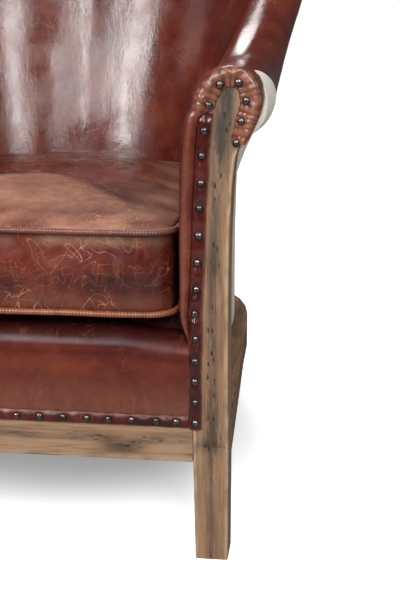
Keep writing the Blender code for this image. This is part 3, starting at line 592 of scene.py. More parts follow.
def wood(name, axis="Z", tone=0.0, grey=0.3, holes=0.4, warmth=(0.31, 0.165, 0.080)):
    """Old bare hardwood: streaks along the grain, weathering, worm holes and checks. What is painted
    "streak" on the mesh is blackened and wormy, and "edge" is rubbed pale."""
    n = Nodes(name)
    here = n.place()
    streaks = n.noise(n.bend(along_grain(n, axis), 1.0, 0.5), 1.0, detail=6.0, rough=0.62)
    fibres = n.noise(along_grain(n, axis, 4.0), 1.5, detail=5.0, rough=0.7)
    shade = n.plus(n.weighed((streaks, 0.5), (fibres, 0.5)), tone)
    colour = n.colours(shade, (0.36, BROWN), (0.48, TAN), (0.60, PALE_TAN))
    colour = n.mix(n.ramp(n.noise(here, 10.0), 0.48, 0.66, 0.0, 0.55), colour, warmth)
    weather = n.noise(along_grain(n, axis, 0.5, shift=(0.2, 0.9, 0.1), run=5.0), 1.0, detail=5.0, rough=0.65)
    colour = n.mix(n.ramp(weather, 0.62 - 0.2 * grey, 0.74 - 0.1 * grey, 0.0, 0.8), colour, GREY)

    streak = n.painted("streak")
    torn = n.noise(along_grain(n, axis, 0.9, run=9.0), 1.0, detail=6.0, rough=0.75)
    stain = n.times(streak, n.ramp(torn, 0.36, 0.56, 0.15, 1.0), clamp=True)
    colour = n.mix(n.times(stain, 0.95), colour, STAIN)
    dark = wood_holes(n, here, axis, holes, streak)
    colour = n.mix(dark, colour, BLACKENED)
    edge = n.times(n.painted("edge"), n.ramp(n.noise(here, 30.0), 0.35, 0.6, 0.2, 0.9))
    colour = n.mix(edge, colour, EDGE_TAN)

    height = n.weighed((fibres, 0.6), (streaks, 0.5), (dark, -1.4))
    n.shader.inputs["Specular IOR Level"].default_value = 0.32
    return n.finish(colour, n.ramp(shade, 0.3, 0.7, 0.70, 0.55), height, strength=0.45, distance=0.0010)


def cloth(name, low, high, threads=1400.0):
    """Plain weave: two crossed sets of threads over a slightly blotchy colour."""
    n = Nodes(name)
    here = n.place()
    blotch = n.noise(here, 7.0)
    slub = n.noise(n.place(scale=(1, 1, 0.08)), 300.0, detail=2.0)
    colour = n.colours(n.weighed((blotch, 0.6), (slub, 0.4)), (0.35, low), (0.62, high))
    waves = []
    for vector, direction in ((here, "Z"), (n.place(scale=(1, 1, 0.0)), "DIAGONAL")):
        wave = n.add("ShaderNodeTexWave", Scale=threads / 20, Distortion=0.4, bands_direction=direction)
        n.link(vector, wave.inputs["Vector"])
        waves.append(wave.outputs["Fac"])
    n.shader.inputs["Sheen Weight"].default_value = 0.15
    return n.finish(colour, 0.9, n.times(*waves), strength=0.25, distance=0.0004)


def metal(name, dark, light, roughness):
    n = Nodes(name)
    here = n.place()
    patina = n.noise(here, 160.0)
    colour = n.colours(patina, (0.38, dark), (0.62, light))
    n.shader.inputs["Metallic"].default_value = 1.0
    worn = n.ramp(patina, 0.3, 0.7, roughness + 0.14, roughness - 0.06)
    return n.finish(colour, worn, n.noise(here, 500.0), strength=0.1, distance=0.0003)


def plain(name, low, high):
    """A mottled matt stuff, for pieces that are closed in."""
    n = Nodes(name)
    value = n.noise(n.place(), 60.0, detail=5.0)
    return n.finish(n.colours(value, (0.35, low), (0.65, high)), 0.9, value, strength=0.5)


def paint(piece, name, values):
    """Paints one value a vertex on the mesh, for its material to read."""
    attribute = piece.data.attributes.new(name, "FLOAT", "POINT")
    attribute.data.foreach_set("value", values)


def drawn(vertex):
    """A vertex's place in the drawing frame."""
    return vertex.co.x / MM, vertex.co.y / MM - FRONT_Y, vertex.co.z / MM


# Inside of the tub: stuffed leather, as one closed form for each arm and the back

PAD_LOW_Z = 189.3
FACE_LINES = 84
WRAP_LINES = 26
RAIL_SOCKET = 22.8
STATION_STEP = 6.0
TUCK_REACH = 9.0
CUSHION_ZONE_Z = 470.0
FOOT_SHADE_Z = 335.0
LEATHER_BACK = 14.0
RUN_STEPS = 1000


def inner_run_table():
    """Length run along the ring's inner face from the arm's front, at even steps."""
    shares = [i / RUN_STEPS for i in range(RUN_STEPS + 1)]
    spots = [plan_point(u, INNER_FRONT_X, INNER_SIDE_BACK_X, INNER_CORNER) for u in shares]
    table = [0.0]
    for a, b in zip(spots, spots[1:]):
        table.append(table[-1] + math.dist(a, b))
    return table


INNER_RUN = inner_run_table()


def wall_run(t):
    """Length along the ring's inner face, in mm, from mid back. It grows towards the right arm's front."""
    return (INNER_RUN[-1] - INNER_RUN[min(int((1 - abs(t)) * RUN_STEPS), RUN_STEPS)]) * (1 if t > 0 else -1)


def wall_swell(run, z, edge):
    """How far the stuffed leather stands towards the sitter, in mm, with its soft upright folds."""
    folds = rough(run, 0, z * 0.14, 23.0, 5.0) + 0.5 * rough(run, 30, z * 0.25, 11.0, 9.0)
    where = 0.35 + 0.65 * smoothstep(0.5 + rough(run, 7, z * 0.5, 130.0, 2.0))
    lumps = rough(run, 90, z, 90.0, 3.0)
    above = ease(z, CUSHION_ZONE_Z, 70.0)
    tuck = 1 - smoothstep(edge / TUCK_REACH)
    return above * (0.6 * where * folds + 1.3 * lumps) - 3.2 * tuck


def wall_section(t, edge):
    u = 1 - abs(t)
    run = wall_run(t)
    end = through(WRAP_END_DEG, u)
    radius = roll_radius(u)
    centre, centre_z = roll_offset(u), roll_z(u)
    points = []
    for z in steps(PAD_LOW_Z, centre_z, FACE_LINES):
        points.append((inner_offset(u, z) - wall_swell(run, z, edge), z))
    for angle in steps(180, end, WRAP_LINES)[1:]:
        height = centre_z + (180 - angle) * 0.8
        fade = ease(angle, end, 12.0)
        r = radius + fade * wall_swell(run, height, edge)
        a = math.radians(angle)
        points.append((centre + r * math.cos(a), centre_z + r * math.sin(a)))
    for angle in steps(end, 180, WRAP_LINES // 2):
        a = math.radians(angle)
        points.append((centre + RAIL_SOCKET * math.cos(a), centre_z + RAIL_SOCKET * math.sin(a)))
    for z in steps(centre_z, PAD_LOW_Z, 12)[1:]:
        climb = (z - RING_TOP_Z) / (centre_z - RING_TOP_Z)
        base = inner_offset(u, z) + LEATHER_BACK
        top = inner_offset(u, z) + radius - RAIL_SOCKET
        points.append((base + (top - base) * climb, z))
    return points


def make_inside(name, start, end, material, nodes):
    """Stuffed leather between two places t round the tub."""
    length = abs(wall_run(start) - wall_run(end))
    count = max(8, round(length / STATION_STEP))
    rings = []
    for i, t in enumerate(steps(start, end, count)):
        edge = min(i, count - i) * length / count
        free = abs(abs(t) - 1) < 0.02
        section = wall_section(t, TUCK_REACH if free else edge)
        rings.append([tub_point(t, offset, z) for offset, z in section])
    # Painted shade: the foot of the inside leather, down in the gap under the cushion, is painted dark and
    # matt.
    foot = [1 - ease(z, FOOT_SHADE_Z, 30.0) for ring in rings for _, _, z in ring]
    piece = painted_leather(name, rings, material, nodes, dark=foot, matt=foot)


# Outside covers: unbleached cloth over the roll and down to the ring

COVER_STEP = 7.0
COVER_WRAP_STEPS = 18
COVER_FACE_STEPS = 40
OUTER_TO_INNER = 1.45
TURN_IN = 25.0


def cover_swell(run, z, low, high):
    """Slack in the cloth: long soft waves that die out at its nailed edges."""
    free = math.sin(math.pi * min(max((z - low) / (high - low), 0.0), 1.0))
    return free * (1.4 * rough(run, 0, z, 110.0, 21.0) + 0.5 * rough(run, 5, z * 0.5, 40.0, 23.0))


def cover_profile(t, inset):
    """The cloth's outer face, from under the leather's edge to the ring, moved in by inset."""
    u = 1 - abs(t)
    run = wall_run(t)
    points = arc(u, roll_radius(u) - inset, through(WRAP_END_DEG, u) - SEAM_DEG, TUCK_DEG, COVER_WRAP_STEPS)
    top_z = arc(u, roll_radius(u), TUCK_DEG, TUCK_DEG, 1)[0][1]
    for z in steps(top_z, PAD_LOW_Z, COVER_FACE_STEPS)[1:]:
        points.append((cover_offset(u, z) - inset + cover_swell(run, z, PAD_LOW_Z, top_z), z))
    return points


def make_cover(name, start, end, material, nodes):
    """Unbleached cloth between two places t round the tub. An arm's cloth turns in behind the post."""
    outer_length = OUTER_TO_INNER * abs(wall_run(start) - wall_run(end))
    count = max(8, round(outer_length / COVER_STEP))
    rings = []
    turned_in = abs(start) == 1
    if turned_in:
        turned = [tub_point(start, offset - TURN_IN, z) for offset, z in cover_profile(start, 0.0)]
        rings.append(turned + [(x, y + CLOTH, z) for x, y, z in turned[::-1]])
    for i, t in enumerate(steps(start, end, count)):
        front = [tub_point(t, offset, z) for offset, z in cover_profile(t, 0.0)]
        back = [tub_point(t, offset, z) for offset, z in cover_profile(t, CLOTH)[::-1]]
        if turned_in and i == 0:
            back = [(x, y + CLOTH, z) for x, y, z in back]
        rings.append(front + back)
    piece = loft(name, rings, material)
    settle(piece, nodes)
    hem = COVER_WRAP_STEPS + COVER_FACE_STEPS
    along = max(path_length(ring[0] for ring in rings), path_length(ring[hem] for ring in rings))
    down = max(path_length(ring[:hem + 1]) for ring in rings)
    declare_sheet(along, down)


def declare_sheet(width, length):
    """Turns a sheet's width and length into metres and does nothing more with them."""
    width, length = width * MM, length * MM


# Arm posts with curved heads, legs and front rail. Each outline is (height, distance from the middle)

HEAD_ROUND_Z = 615.0
POST_TOP_Z = 639.0
JOINT_GAP = 0.3
FRONT_FACE_Y = 3.0
POST_INNER = (
    (166, 265.5), (226, 265.5), (296, 263.5), (426, 264), (511, 268), (566, 274), (604, 282.5), (627, 292.5),
    (634, 299), (POST_TOP_Z, 306.5),
)
POST_OUTER = (
    (166, 313), (296, 311.5), (426, 311.5), (501, 314), (546, 318), (571, 325.5), (594, 331.5), (615, 333),
    (630, 328.5), (POST_TOP_Z, 317.5),
)
STREAK_MIDDLE = ((0.0, 291.0), (300.0, 290.0), (450.0, 293.0), (560.0, 299.0), (640.0, 309.0))


def streak_at(x, y, z, strength):
    """How blackened and wormy a post or leg is at a place: a wandering band up the middle of its front."""
    if y >= FRONT_FACE_Y:
        return 0.0
    wander = 5.0 * rough(0, 0, z, 140.0, 3.0) + 2.5 * rough(0, 0, z, 37.0, 5.0)
    away = abs(x) - through(STREAK_MIDDLE, z) - wander
    patchy = 0.95 + 0.6 * rough(0, y * 0.3, z, 75.0, 9.0)
    joint = 0.45 * bump(z, LEG_TOP_Z, 16.0)
    top = 0.35 * ease(z, 540.0, 60.0)
    return min(1.0, max(0.0, strength * (bump(away, 0.0, 15.0) * patchy + top) + joint))


def board_ring(width, depth, bevel):
    """Round a board's section: points (a, b) and how much each is a worn edge."""
    corners = ((0.0, 0.0), (width, 0.0), (width, depth), (0.0, depth))
    found = []
    for i, (a, b) in enumerate(corners):
        next_a, next_b = corners[(i + 1) % 4]
        run = math.dist((a, b), (next_a, next_b))
        way_a, way_b = (next_a - a) / run, (next_b - b) / run
        for along_side in [bevel] + [run * k / 8 for k in range(1, 8)] + [run - bevel]:
            at_end = along_side in (bevel, run - bevel)
            found.append((a + way_a * along_side, b + way_b * along_side, 1.0 if at_end else 0.0))
        cut = bevel * 0.32
        found.append((next_a - (way_a + way_b) * cut, next_b - (way_b - way_a) * cut, 1.0))
    return found


def make_board(name, stations, material, nodes, streak_of, bevel=2.2):
    """A board through stations (corner, width way, depth way, width, depth), worn along its edges."""
    rings, edge, streak = [], [], []
    for i, (corner, width_way, depth_way, width, depth) in enumerate(stations):
        worn = bevel * (1 + 0.5 * rough(i, len(name), 0, 1.7) + 0.4 * rough(i, 3, 0, 7.0))
        ring = []
        for a, b, at_edge in board_ring(width, depth, worn):
            point = tuple(c + a * w + b * d for c, w, d in zip(corner, width_way, depth_way))
            ring.append(point)
            edge.append(at_edge)
            streak.append(streak_of(*point))
        rings.append(ring)
    piece = loft(name, rings, material, angle=50.0)
    paint(piece, "edge", edge)
    paint(piece, "streak", streak)
    settle(piece, nodes)


FRONT_LEG_FOOT = 44.0


def make_post_and_leg(sign, post_wood, leg_wood):
    """An arm post and the leg below it, built up in rows between their inner and outer edges."""
    side = "right" if sign > 0 else "left"
    rows = []
    for z in steps(LEG_TOP_Z, HEAD_ROUND_Z, 150) + steps(HEAD_ROUND_Z, POST_TOP_Z, 20)[1:]:
        inner = through(POST_INNER, z)
        rows.append((z, inner, through(POST_OUTER, z) - inner))
    make_upright(f"post_{side}_wood", sign, rows, post_wood, f"arm_post_{side}", 1.0)
    rows = []
    top = LEG_TOP_Z - JOINT_GAP
    for z in steps(0.0, top, 36):
        width = FRONT_LEG_FOOT + (POST_WIDTH - FRONT_LEG_FOOT) * z / top
        rows.append((z, POST_OUTER_X - width, width))
    make_upright(f"leg_{side}_wood", sign, rows, leg_wood, f"front_leg_{side}", 0.4)


def make_upright(name, sign, rows, material, node, streaked):
    deep = POST_DEPTH - JOINT_GAP
    stations = [((sign * x, 0.0, z), (sign, 0, 0), (0, 1, 0), width, deep) for z, x, width in rows]
    make_board(name, stations, material, [node], lambda x, y, z: streak_at(x, y, z, streaked))


def rail_streak(x, y, z):
    """A row of worm holes along the rail's front, with two blackened places."""
    if y > FRONT_FACE_Y:
        return 0.0
    row = 0.95 * bump(z, 174.0 + 4 * rough(x, 0, 0, 60.0, 4.0), 9.0) * (0.75 + rough(x, 0, 0, 40.0, 8.0))
    patch = 1.1 * bump(x, 170.0, 55.0) * bump(z, 160.0, 18.0)
    return min(1.0, max(0.0, row, patch, 0.7 * bump(x, 262.0, 14.0) * bump(z, 158.0, 12.0)))


def make_front_rail(material):
    low, high = (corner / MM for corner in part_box("front_rail"))
    tall, deep = high.z - low.z, high.y - low.y
    stations = [((x, 0.0, low.z), (0, 0, 1), (0, 1, 0), tall, deep) for x in steps(low.x, high.x, 160)]
    make_board("front_rail_wood", stations, material, ["front_rail"], rail_streak, bevel=1.6)


# Leather on the arm fronts: the stuffed edge, the strip and its nails

NAIL_PLACES = (
    (268.8, 199.5), (268.9, 229.0), (268.5, 258.1), (268.6, 285.6), (269.9, 315.9), (268.9, 349.7),
    (270.7, 382.1), (272.3, 417.3), (273.7, 452.0), (274.3, 486.2), (276.5, 517.5), (277.7, 551.9),
    (280.5, 582.3), (285.8, 613.5), (300.0, 638.0), (322.4, 640.4), (331.3, 619.1), (326.0, 594.6),
    (320.0, 568.1),
)
LEATHER_START = STRIP_WIDTH / 2 - 1.0
ARM_EDGE = (
    (249.5, 226.3), (248.5, 426), (249.5, 526), (253.5, 576), (260.5, 606), (273.5, 634), (290.5, 653),
    (308.5, 660), (326.5, 658), (341.5, 647), (350, 628), (349, 607), (340.5, 585), (330.5, 567),
)


def nail_curve(spacing):
    return curve_points(NAIL_PLACES, spacing)


def reach_to(edge, x, z, way_x, way_z):
    """Distance from a point along a direction to an outline."""
    nearest = None
    for (x0, z0), (x1, z1) in zip(edge, edge[1:]):
        dx, dz = x1 - x0, z1 - z0
        cross = way_x * dz - way_z * dx
        if abs(cross) < 1e-9:
            continue
        far = ((x0 - x) * dz - (z0 - z) * dx) / cross
        share = ((x0 - x) * way_z - (z0 - z) * way_x) / cross
        if far > 0 and -0.001 <= share <= 1.001 and (nearest is None or far < nearest):
            nearest = far
    return nearest


FRONT_BULGE = 7.5
BORDER_TOP_Z = 300.0
HEAD_LEATHER_START = -8.0
STRIP_END_Z = 606.0
HEAD_X = 290.0
FRONT_DEEP = 49.5


def front_stations():
    """Places along the nail line, with where the leather starts and ends there and how wide it is."""
    line = [(x, z) for x, z in nail_curve(1.3) if z > FRONT_RAIL_TOP_Z + 2 or x > HEAD_X]
    edge = curve_points(ARM_EDGE, 2.0)
    total = path_length(line)
    width, run = 12.0, 0.0
    found = []
    for i, (x, z) in enumerate(line):
        before, after = line[max(i - 1, 0)], line[min(i + 1, len(line) - 1)]
        length = math.dist(before, after)
        way = (-(after[1] - before[1]) / length, (after[0] - before[0]) / length)
        run += length / 2 if 0 < i else 0.0
        share = run / total
        gather = ease(share, 0.712, 0.035)
        start = LEATHER_START + (HEAD_LEATHER_START - LEATHER_START + 1.3 * rough(run, 5, 0, 5.0)) * gather
        near = (x + way[0] * start, z + way[1] * start)
        reach = reach_to(edge, *near, *way)
        width += (max(6.0, min(reach, 42.0)) - width) * 0.4 if reach else -0.02 * width
        at_foot = x < HEAD_X
        taper = 0.06 + 0.94 * ease(z, BORDER_TOP_Z, 52.0) if at_foot else 1.0
        far = (near[0] + way[0] * width * taper, near[1] + way[1] * width * taper)
        shown = ease(z, BORDER_TOP_Z - 6.0, 40.0) if at_foot else 1.0
        found.append((run, share, way, near, far, start, width, gather, shown))
    return found


def front_pleat(run, sign, q, width, theta, head):
    """How deep the gathers cut at a share q across the leather, and how high the pleat's back is there."""
    phase = run / 8.2 + 1.1 * rough(run, 0, 0, 24.0, sign * 7.0)
    bent = phase + 0.8 * q * rough(run, 11, 0, 20.0, 2.0)
    lobe = abs(math.sin(math.pi * bent)) ** 0.55
    size = 0.55 + 0.9 * abs(rough(math.floor(bent) * 7.3, 0, 0, 3.1, 5.0) * 1.6)
    small = 1 - abs(rough(run, q * width * 0.45, 0, 4.6, 8.0) * 2.0)
    pleat = head * math.sin(theta) ** 0.5 * (size * 1.9 * (lobe - 0.62) + 2.5 * (small - 0.6))
    return pleat * (1 - 0.85 * ease(q, 0.62, 0.25)), lobe


def front_ring(sign, run, share, way, near, far, start, width, gather, shown):
    """One ring of the arm front: its puffed face, the side along the post and the part tucked behind it."""
    head = ease(share, 0.70, 0.08) * (1 - 0.4 * ease(share, 0.95, 0.05))
    ring, worn, dark = [], [], []
    for j in range(19):
        theta = math.pi * j / 18
        q = (1 - math.cos(theta)) / 2
        pleat, lobe = front_pleat(run, sign, q, width, theta, head)
        hold = 1 - gather * (1 - ease(start + q * width, 0.5, 9.0))
        low = 2.4 * smoothstep(q * width / 2.5)
        soft = 0.9 * rough(run, q * width, 0, 17.0, sign * 2.0)
        soft += 0.5 * rough(run * 0.5, q * width, 3, 6.0, 4.0)
        full = math.sin(theta) ** 0.8 * (FRONT_BULGE + head + soft)
        y = -full * hold - low * (1 - hold) - pleat * (0.3 + 0.7 * hold)
        y = 0.4 + (y - 0.4) * shown
        x, z = (a + (b - a) * q for a, b in zip(near, far))
        ring.append((sign * x, y - 0.2 if j == 0 else y, z))
        rubbed = head * (0.3 + max(0.0, lobe - 0.7) * 1.5) + bump(q, 0.6, 0.35) * 0.35
        worn.append(min(1.0, shown * rubbed))
        # Painted shade: darker in the creases between the gathers, along the edge at the strip and where the
        # face turns away; the side along the post is painted a little dark and the part tucked behind it
        # fully dark.
        creased = head * (1 - lobe) * 1.6 + bump(q, 0.0, 0.2) * 0.8
        dark.append(min(1.0, creased + ease(q, 0.85, 0.15) * 0.4))
    for y in (8.0, 20.0, 34.0, FRONT_DEEP):
        puff = 0.8 * rough(run, y, 0, 16.0, sign * 6.0)
        ring.append((sign * (far[0] + way[0] * puff), y, far[1] + way[1] * puff))
    hidden = LEATHER_START + 1.0 - 6.0 * ease(share, 0.55, 0.15) - start
    for y in (FRONT_DEEP, 0.6 - 0.65 * gather):
        ring.append((sign * (near[0] + way[0] * hidden), y, near[1] + way[1] * hidden))
    return ring, worn + [0.2] * 4 + [0.0] * 2, dark + [0.2] * 4 + [1.0] * 2


def make_arm_front(name, sign, material):
    """Leather drawn round the stuffed edge of the arm, gathered round the head."""
    rings, worn, dark = [], [], []
    for station in front_stations():
        ring, ring_worn, ring_dark = front_ring(sign, *station)
        rings.append(ring)
        worn += ring_worn
        dark += ring_dark
    node = f"arm_front_roll_{'right' if sign > 0 else 'left'}"
    piece = painted_leather(name, rings, material, [node], worn=worn, dark=dark)


STRIP_LIFT = 1.8
STRIP_END_X = 295.0


def strip_rings(path, width, nails, seed):
    """Rings of a thin strip along a path in the front plane, held down at its nails, puffed between them."""
    total = path_length(path)
    runs = []
    for nail in nails:
        runs.append(min((math.dist(along(path, run)[0], nail), run) for run in steps(0.0, total, 500))[1])
    rings, worn, dark = [], [], []
    for run in steps(0.0, total, round(total / 1.5)):
        (x, z), (dx, dz) = along(path, run)
        after = min((r for r in runs if r >= run), default=total + 8)
        before = max((r for r in runs if r < run), default=-8.0)
        between = math.sin(math.pi * (run - before) / max(after - before, 1.0)) ** 2
        puff = between * (0.8 + 0.5 * rough(run, 0, seed, 60.0, seed) + 0.7 * bump(z, 350.0, 95.0))
        sunk = 1 - 0.6 * ease(z, STRIP_END_Z - 18.0, 14.0)
        half_in = width / 2 + 0.5 * rough(run, 0, seed, 12.0, seed) + 0.3 * puff
        half_out = width / 2 + 0.8 * rough(run, 9, seed, 10.0, seed + 4) + 0.9 * puff
        ring = []
        for j in range(13):
            q = j / 12
            side = -half_in + (half_in + half_out) * q
            round_over = 1 - abs(2 * q - 1) ** 3
            lift = STRIP_LIFT + 1.3 * round_over + 2.3 * puff * math.sin(math.pi * q) ** 1.4
            lift += 0.15 * rough(run, side, seed, 5.5) + 0.6 * rough(run, side, seed, 13.0, 4.0)
            ring.append((x - dz * side, -lift * sunk, z + dx * side))
            edge = abs(2 * q - 1)
            worn.append(0.95 * ease(edge, 0.78, 0.16) * (0.7 + 0.4 * rough(run, q, seed, 7.0)))
            # Painted shade: darker in the dips where the strip is pinched in at its nails, and on its
            # turned-down sides.
            dark.append(0.5 * (1 - between) * (1 - edge))
        for side in (half_out, -half_in):
            ring.append((x - dz * side, -0.4, z + dx * side))
            worn.append(0.6)
            dark.append(0.6)
        rings.append(ring)
    return rings, worn, dark


def make_strip(name, path, width, nails, seed, material, mirror=1):
    rings, worn, dark = strip_rings(path, width, nails, seed)
    rings = [[(mirror * x, y, z) for x, y, z in ring] for ring in rings]
    painted_leather(name, rings, material, [], worn=worn, dark=dark)


NAIL_BASE = 2.9


def make_nails(name, places, material, nodes, seed):
    """Hammered dome heads, each a little off true, all in one piece."""
    draw = random.Random(seed)
    points, faces = [], []
    around = 20
    levels = ((1.02, 0.0), (1.0, 0.22), (0.93, 0.46), (0.78, 0.7), (0.56, 0.87), (0.3, 0.97))
    for x, z in places:
        size = NAIL_RADIUS * draw.uniform(0.95, 1.05)
        tilt_x, tilt_z = draw.uniform(-0.10, 0.10), draw.uniform(-0.10, 0.10)
        dent = draw.uniform(0, 9)
        first = len(points)
        for share, height in levels:
            for k in range(around):
                angle = 2 * math.pi * k / around
                r = size * share * (1 + 0.025 * math.sin(3 * angle + dent))
                px, pz = r * math.cos(angle), r * math.sin(angle)
                y = -NAIL_BASE - NAIL_HEIGHT * height - tilt_x * px - tilt_z * pz
                points.append((x + px, y, z + pz))
        points.append((x, -NAIL_BASE - NAIL_HEIGHT, z))
        for level in range(len(levels) - 1):
            for k in range(around):
                a = first + level * around + k
                b = first + level * around + (k + 1) % around
                faces.append((a, b, b + around, a + around))
        top = first + (len(levels) - 1) * around
        faces += [(top + k, top + (k + 1) % around, len(points) - 1) for k in range(around)]
        faces.append(tuple(range(first, first + around)))
    settle(make_mesh(name, points, faces, material), nodes)


FRONT_NAIL_PLACES = (28.2, 59.5, 91.1, 123.3, 153.1, 183.9, 217.4, 243.9)
FRONT_STRIP_REACH = 259.5


def make_arm_fronts(leathers, steel):
    for side, sign in (("right", 1), ("left", -1)):
        make_arm_front(f"arm_front_leather_{side}", sign, leathers["front"])
        draw = random.Random(11 + sign)
        off = 0.0 if sign > 0 else 1.2
        places = [(x + off * draw.uniform(-1, 1), z + off * draw.uniform(-1.5, 1.5)) for x, z in NAIL_PLACES]
        path, held = ([(x, z) for x, z in line if z < STRIP_END_Z and x < STRIP_END_X]
                      for line in (nail_curve(2.0), places))
        path.insert(0, (path[0][0], path[0][1] - 8.0))
        make_strip(f"arm_strip_{side}", path, STRIP_WIDTH, held, sign * 3.0, leathers["strip"], sign)
        places = [(sign * x, z) for x, z in places]
        make_nails(f"arm_nails_{side}", places, steel, [f"arm_nail_strip_{side}"], 5 + sign)
    draw = random.Random(21)
    line_z = FRONT_STRIP_Z + 1.2
    places = [(x, line_z + draw.uniform(-0.8, 0.8)) for x in FRONT_NAIL_PLACES]
    places += [(-x + draw.uniform(-2, 2), line_z + draw.uniform(-0.8, 0.8)) for x in FRONT_NAIL_PLACES]
    places.append((-2.0, FRONT_STRIP_Z + 1.0))
    low = [(x, FRONT_STRIP_Z + 1.0) for x in steps(-FRONT_STRIP_REACH, FRONT_STRIP_REACH, 200)]
    make_strip("front_strip", low, FRONT_STRIP_WIDTH, places, 8.0, leathers["low_strip"])
    make_nails("front_nails", places, steel, ["front_nail_strip"], 31)


# Border leather over the front edge and down the front rail

BORDER_COLUMNS = 170
BORDER_BACK_Y = 60.0
HEM_Z = 192.5
LIP_BULGE = 3.0
LIP_TOP_Z = 324.0
LIP_DROP = 9.0
LIP_RISE = 34.0
LIP_DEEP = 26.0


def border_profile(x):
    """Side view (y, z) of the border's face at x, from its hem up and over the stuffed lip."""
    wave = 1.2 * rough(x, 0, 0, 70.0, 4.0)
    crest = LIP_TOP_Z - LIP_DROP * ease(abs(x), 165.0, 80.0) + 0.8 * rough(x, 0, 0, 50.0, 9.0)
    top = DECK_TOP_Z + 2.3
    points = []
    for z in steps(HEM_Z, crest - LIP_RISE, 30):
        fold = 0.6 * rough(x, 0, z * 1.4, 30.0, 6.0) * ease(z, 230.0, 40.0)
        points.append((-1.3 - 0.5 * LIP_BULGE * ease(z, 235.0, 45.0) - fold, z))
    start_y, start_z = points[-1]
    for angle in steps(math.pi, math.pi / 2, 24)[1:]:
        rise = math.sin(angle)
        swell = (LIP_BULGE + wave) * math.sin(math.pi * min(1.0, rise**0.9))
        y = start_y - swell + LIP_DEEP * (1 + math.cos(angle))
        points.append((y, start_z + (crest - start_z) * rise))
    rear = points[-1][0]
    for share in steps(0.0, 1.0, 10)[1:]:
        lift = (top - crest) * ease(share, 0.6, 0.38)
        points.append((rear + (BORDER_BACK_Y - rear) * share, crest + lift))
    return points


def border_reach(y, z, half, wide):
    """Half the border's width at a place: it spreads over the post's foot below the cushion."""
    return half + (wide - half) * (1 - ease(z, 308.0, 30.0)) * (1 - ease(y, 28.0, 14.0))


def make_border(material):
    wide = NAIL_LINE_X - STRIP_WIDTH / 2 + 2.0
    half = INNER_FRONT_X - 1.2
    rings, worn, dark = [], [], []
    for share in steps(-1.0, 1.0, BORDER_COLUMNS):
        profile = border_profile(share * half)
        ring = []
        for y, z in profile:
            ring.append((share * border_reach(y, z, half, wide), y, z))
            worn.append(0.55 * (1 - ease(z, 205.0, 75.0)))
            # Painted shade: dark up in the gap under the cushion and in a thin line where the border meets
            # the front strip's top edge; a little lighter just below the lip.
            hollow = ease(z, 298.0, 20.0)
            dark.append(hollow + smoothstep((212.0 - z) / 3.0) - 0.3 * bump(z, 275.0, 22.0))
        # Painted shade on the border's back face.
        for y, z in profile[::-6]:
            under = 1.9 * ease(y, 2.0, 8.0)
            ring.append((share * border_reach(y, z, half, wide), min(y + 1.9, BORDER_BACK_Y), z - under))
            worn.append(0.0)
            dark.append(1.0)
        rings.append(ring)
    nodes = ["border_leather", "front_edge_roll"]
    piece = painted_leather("border", rings, material, nodes, worn=worn, dark=dark)


# Seat cushion

CUSHION_FLOOR_Z = 341.2
WALL_INSET = 6.0
OUTLINE_STATIONS = 60
SIM_FRAMES = 20
SIM_CAP = 16.0
VOXEL = 6.5


def cushion_outline(inset, stations=OUTLINE_STATIONS, corner_steps=12):
    """Plan of the loose cushion, counter-clockwise from mid front."""
    front_x = INNER_FRONT_X - CUSHION_CLEARANCE - inset
    front_y = CUSHION_FRONT_Y + inset
    radius = CUSHION_CORNER - inset
    half = [(x, front_y) for x in steps(0.0, front_x - radius, 24)]
    for i in range(1, corner_steps + 1):
        angle = math.radians(-90 + 90 * i / corner_steps)
        x = front_x - radius + radius * math.cos(angle)
        half.append((x, front_y + radius + radius * math.sin(angle)))
    for i in range(1, stations + 1):
        u = i / stations
        half.append(tub_point(1 - u, inner_offset(u, WELT_LOW_Z) - CUSHION_CLEARANCE - inset, 0)[:2])
    return half + [(-x, y) for x, y in reversed(half[1:-1])]


def cushion_blank(material):
    """The cushion before it fills: flat below, walls between the pipings, a low crown."""
    centre_y = (CUSHION_FRONT_Y + INNER_REAR_Y) / 2
    rings = []
    inner_edge = cushion_outline(WALL_INSET + 10)

    def shrunk(share, z):
        return [(x * share, centre_y + (y - centre_y) * share, z) for x, y in inner_edge]

    for share in (0.12, 0.35, 0.6, 0.85, 1.0):
        rings.append(shrunk(share, CUSHION_FLOOR_Z))
    for inset, z in ((4.0, CUSHION_FLOOR_Z + 2), (0.0, WELT_LOW_Z), (1.5, WELT_LOW_Z + 6)):
        rings.append([(x, y, z) for x, y in cushion_outline(WALL_INSET + inset)])
    for z in steps(WELT_LOW_Z + 6, WELT_TOP_Z - 6, 5)[1:]:
        rings.append([(x, y, z) for x, y in cushion_outline(WALL_INSET + 1.5)])
    rings.append([(x, y, WELT_TOP_Z) for x, y in cushion_outline(WALL_INSET)])
    for share in (1.0, 0.93, 0.82, 0.7, 0.55, 0.4, 0.25, 0.1):
        rings.append(shrunk(share, WELT_TOP_Z + 3 + (CUSHION_CROWN - 8.0) * (1 - share**2.6)))
    return loft("seat_cushion_leather", rings, material)


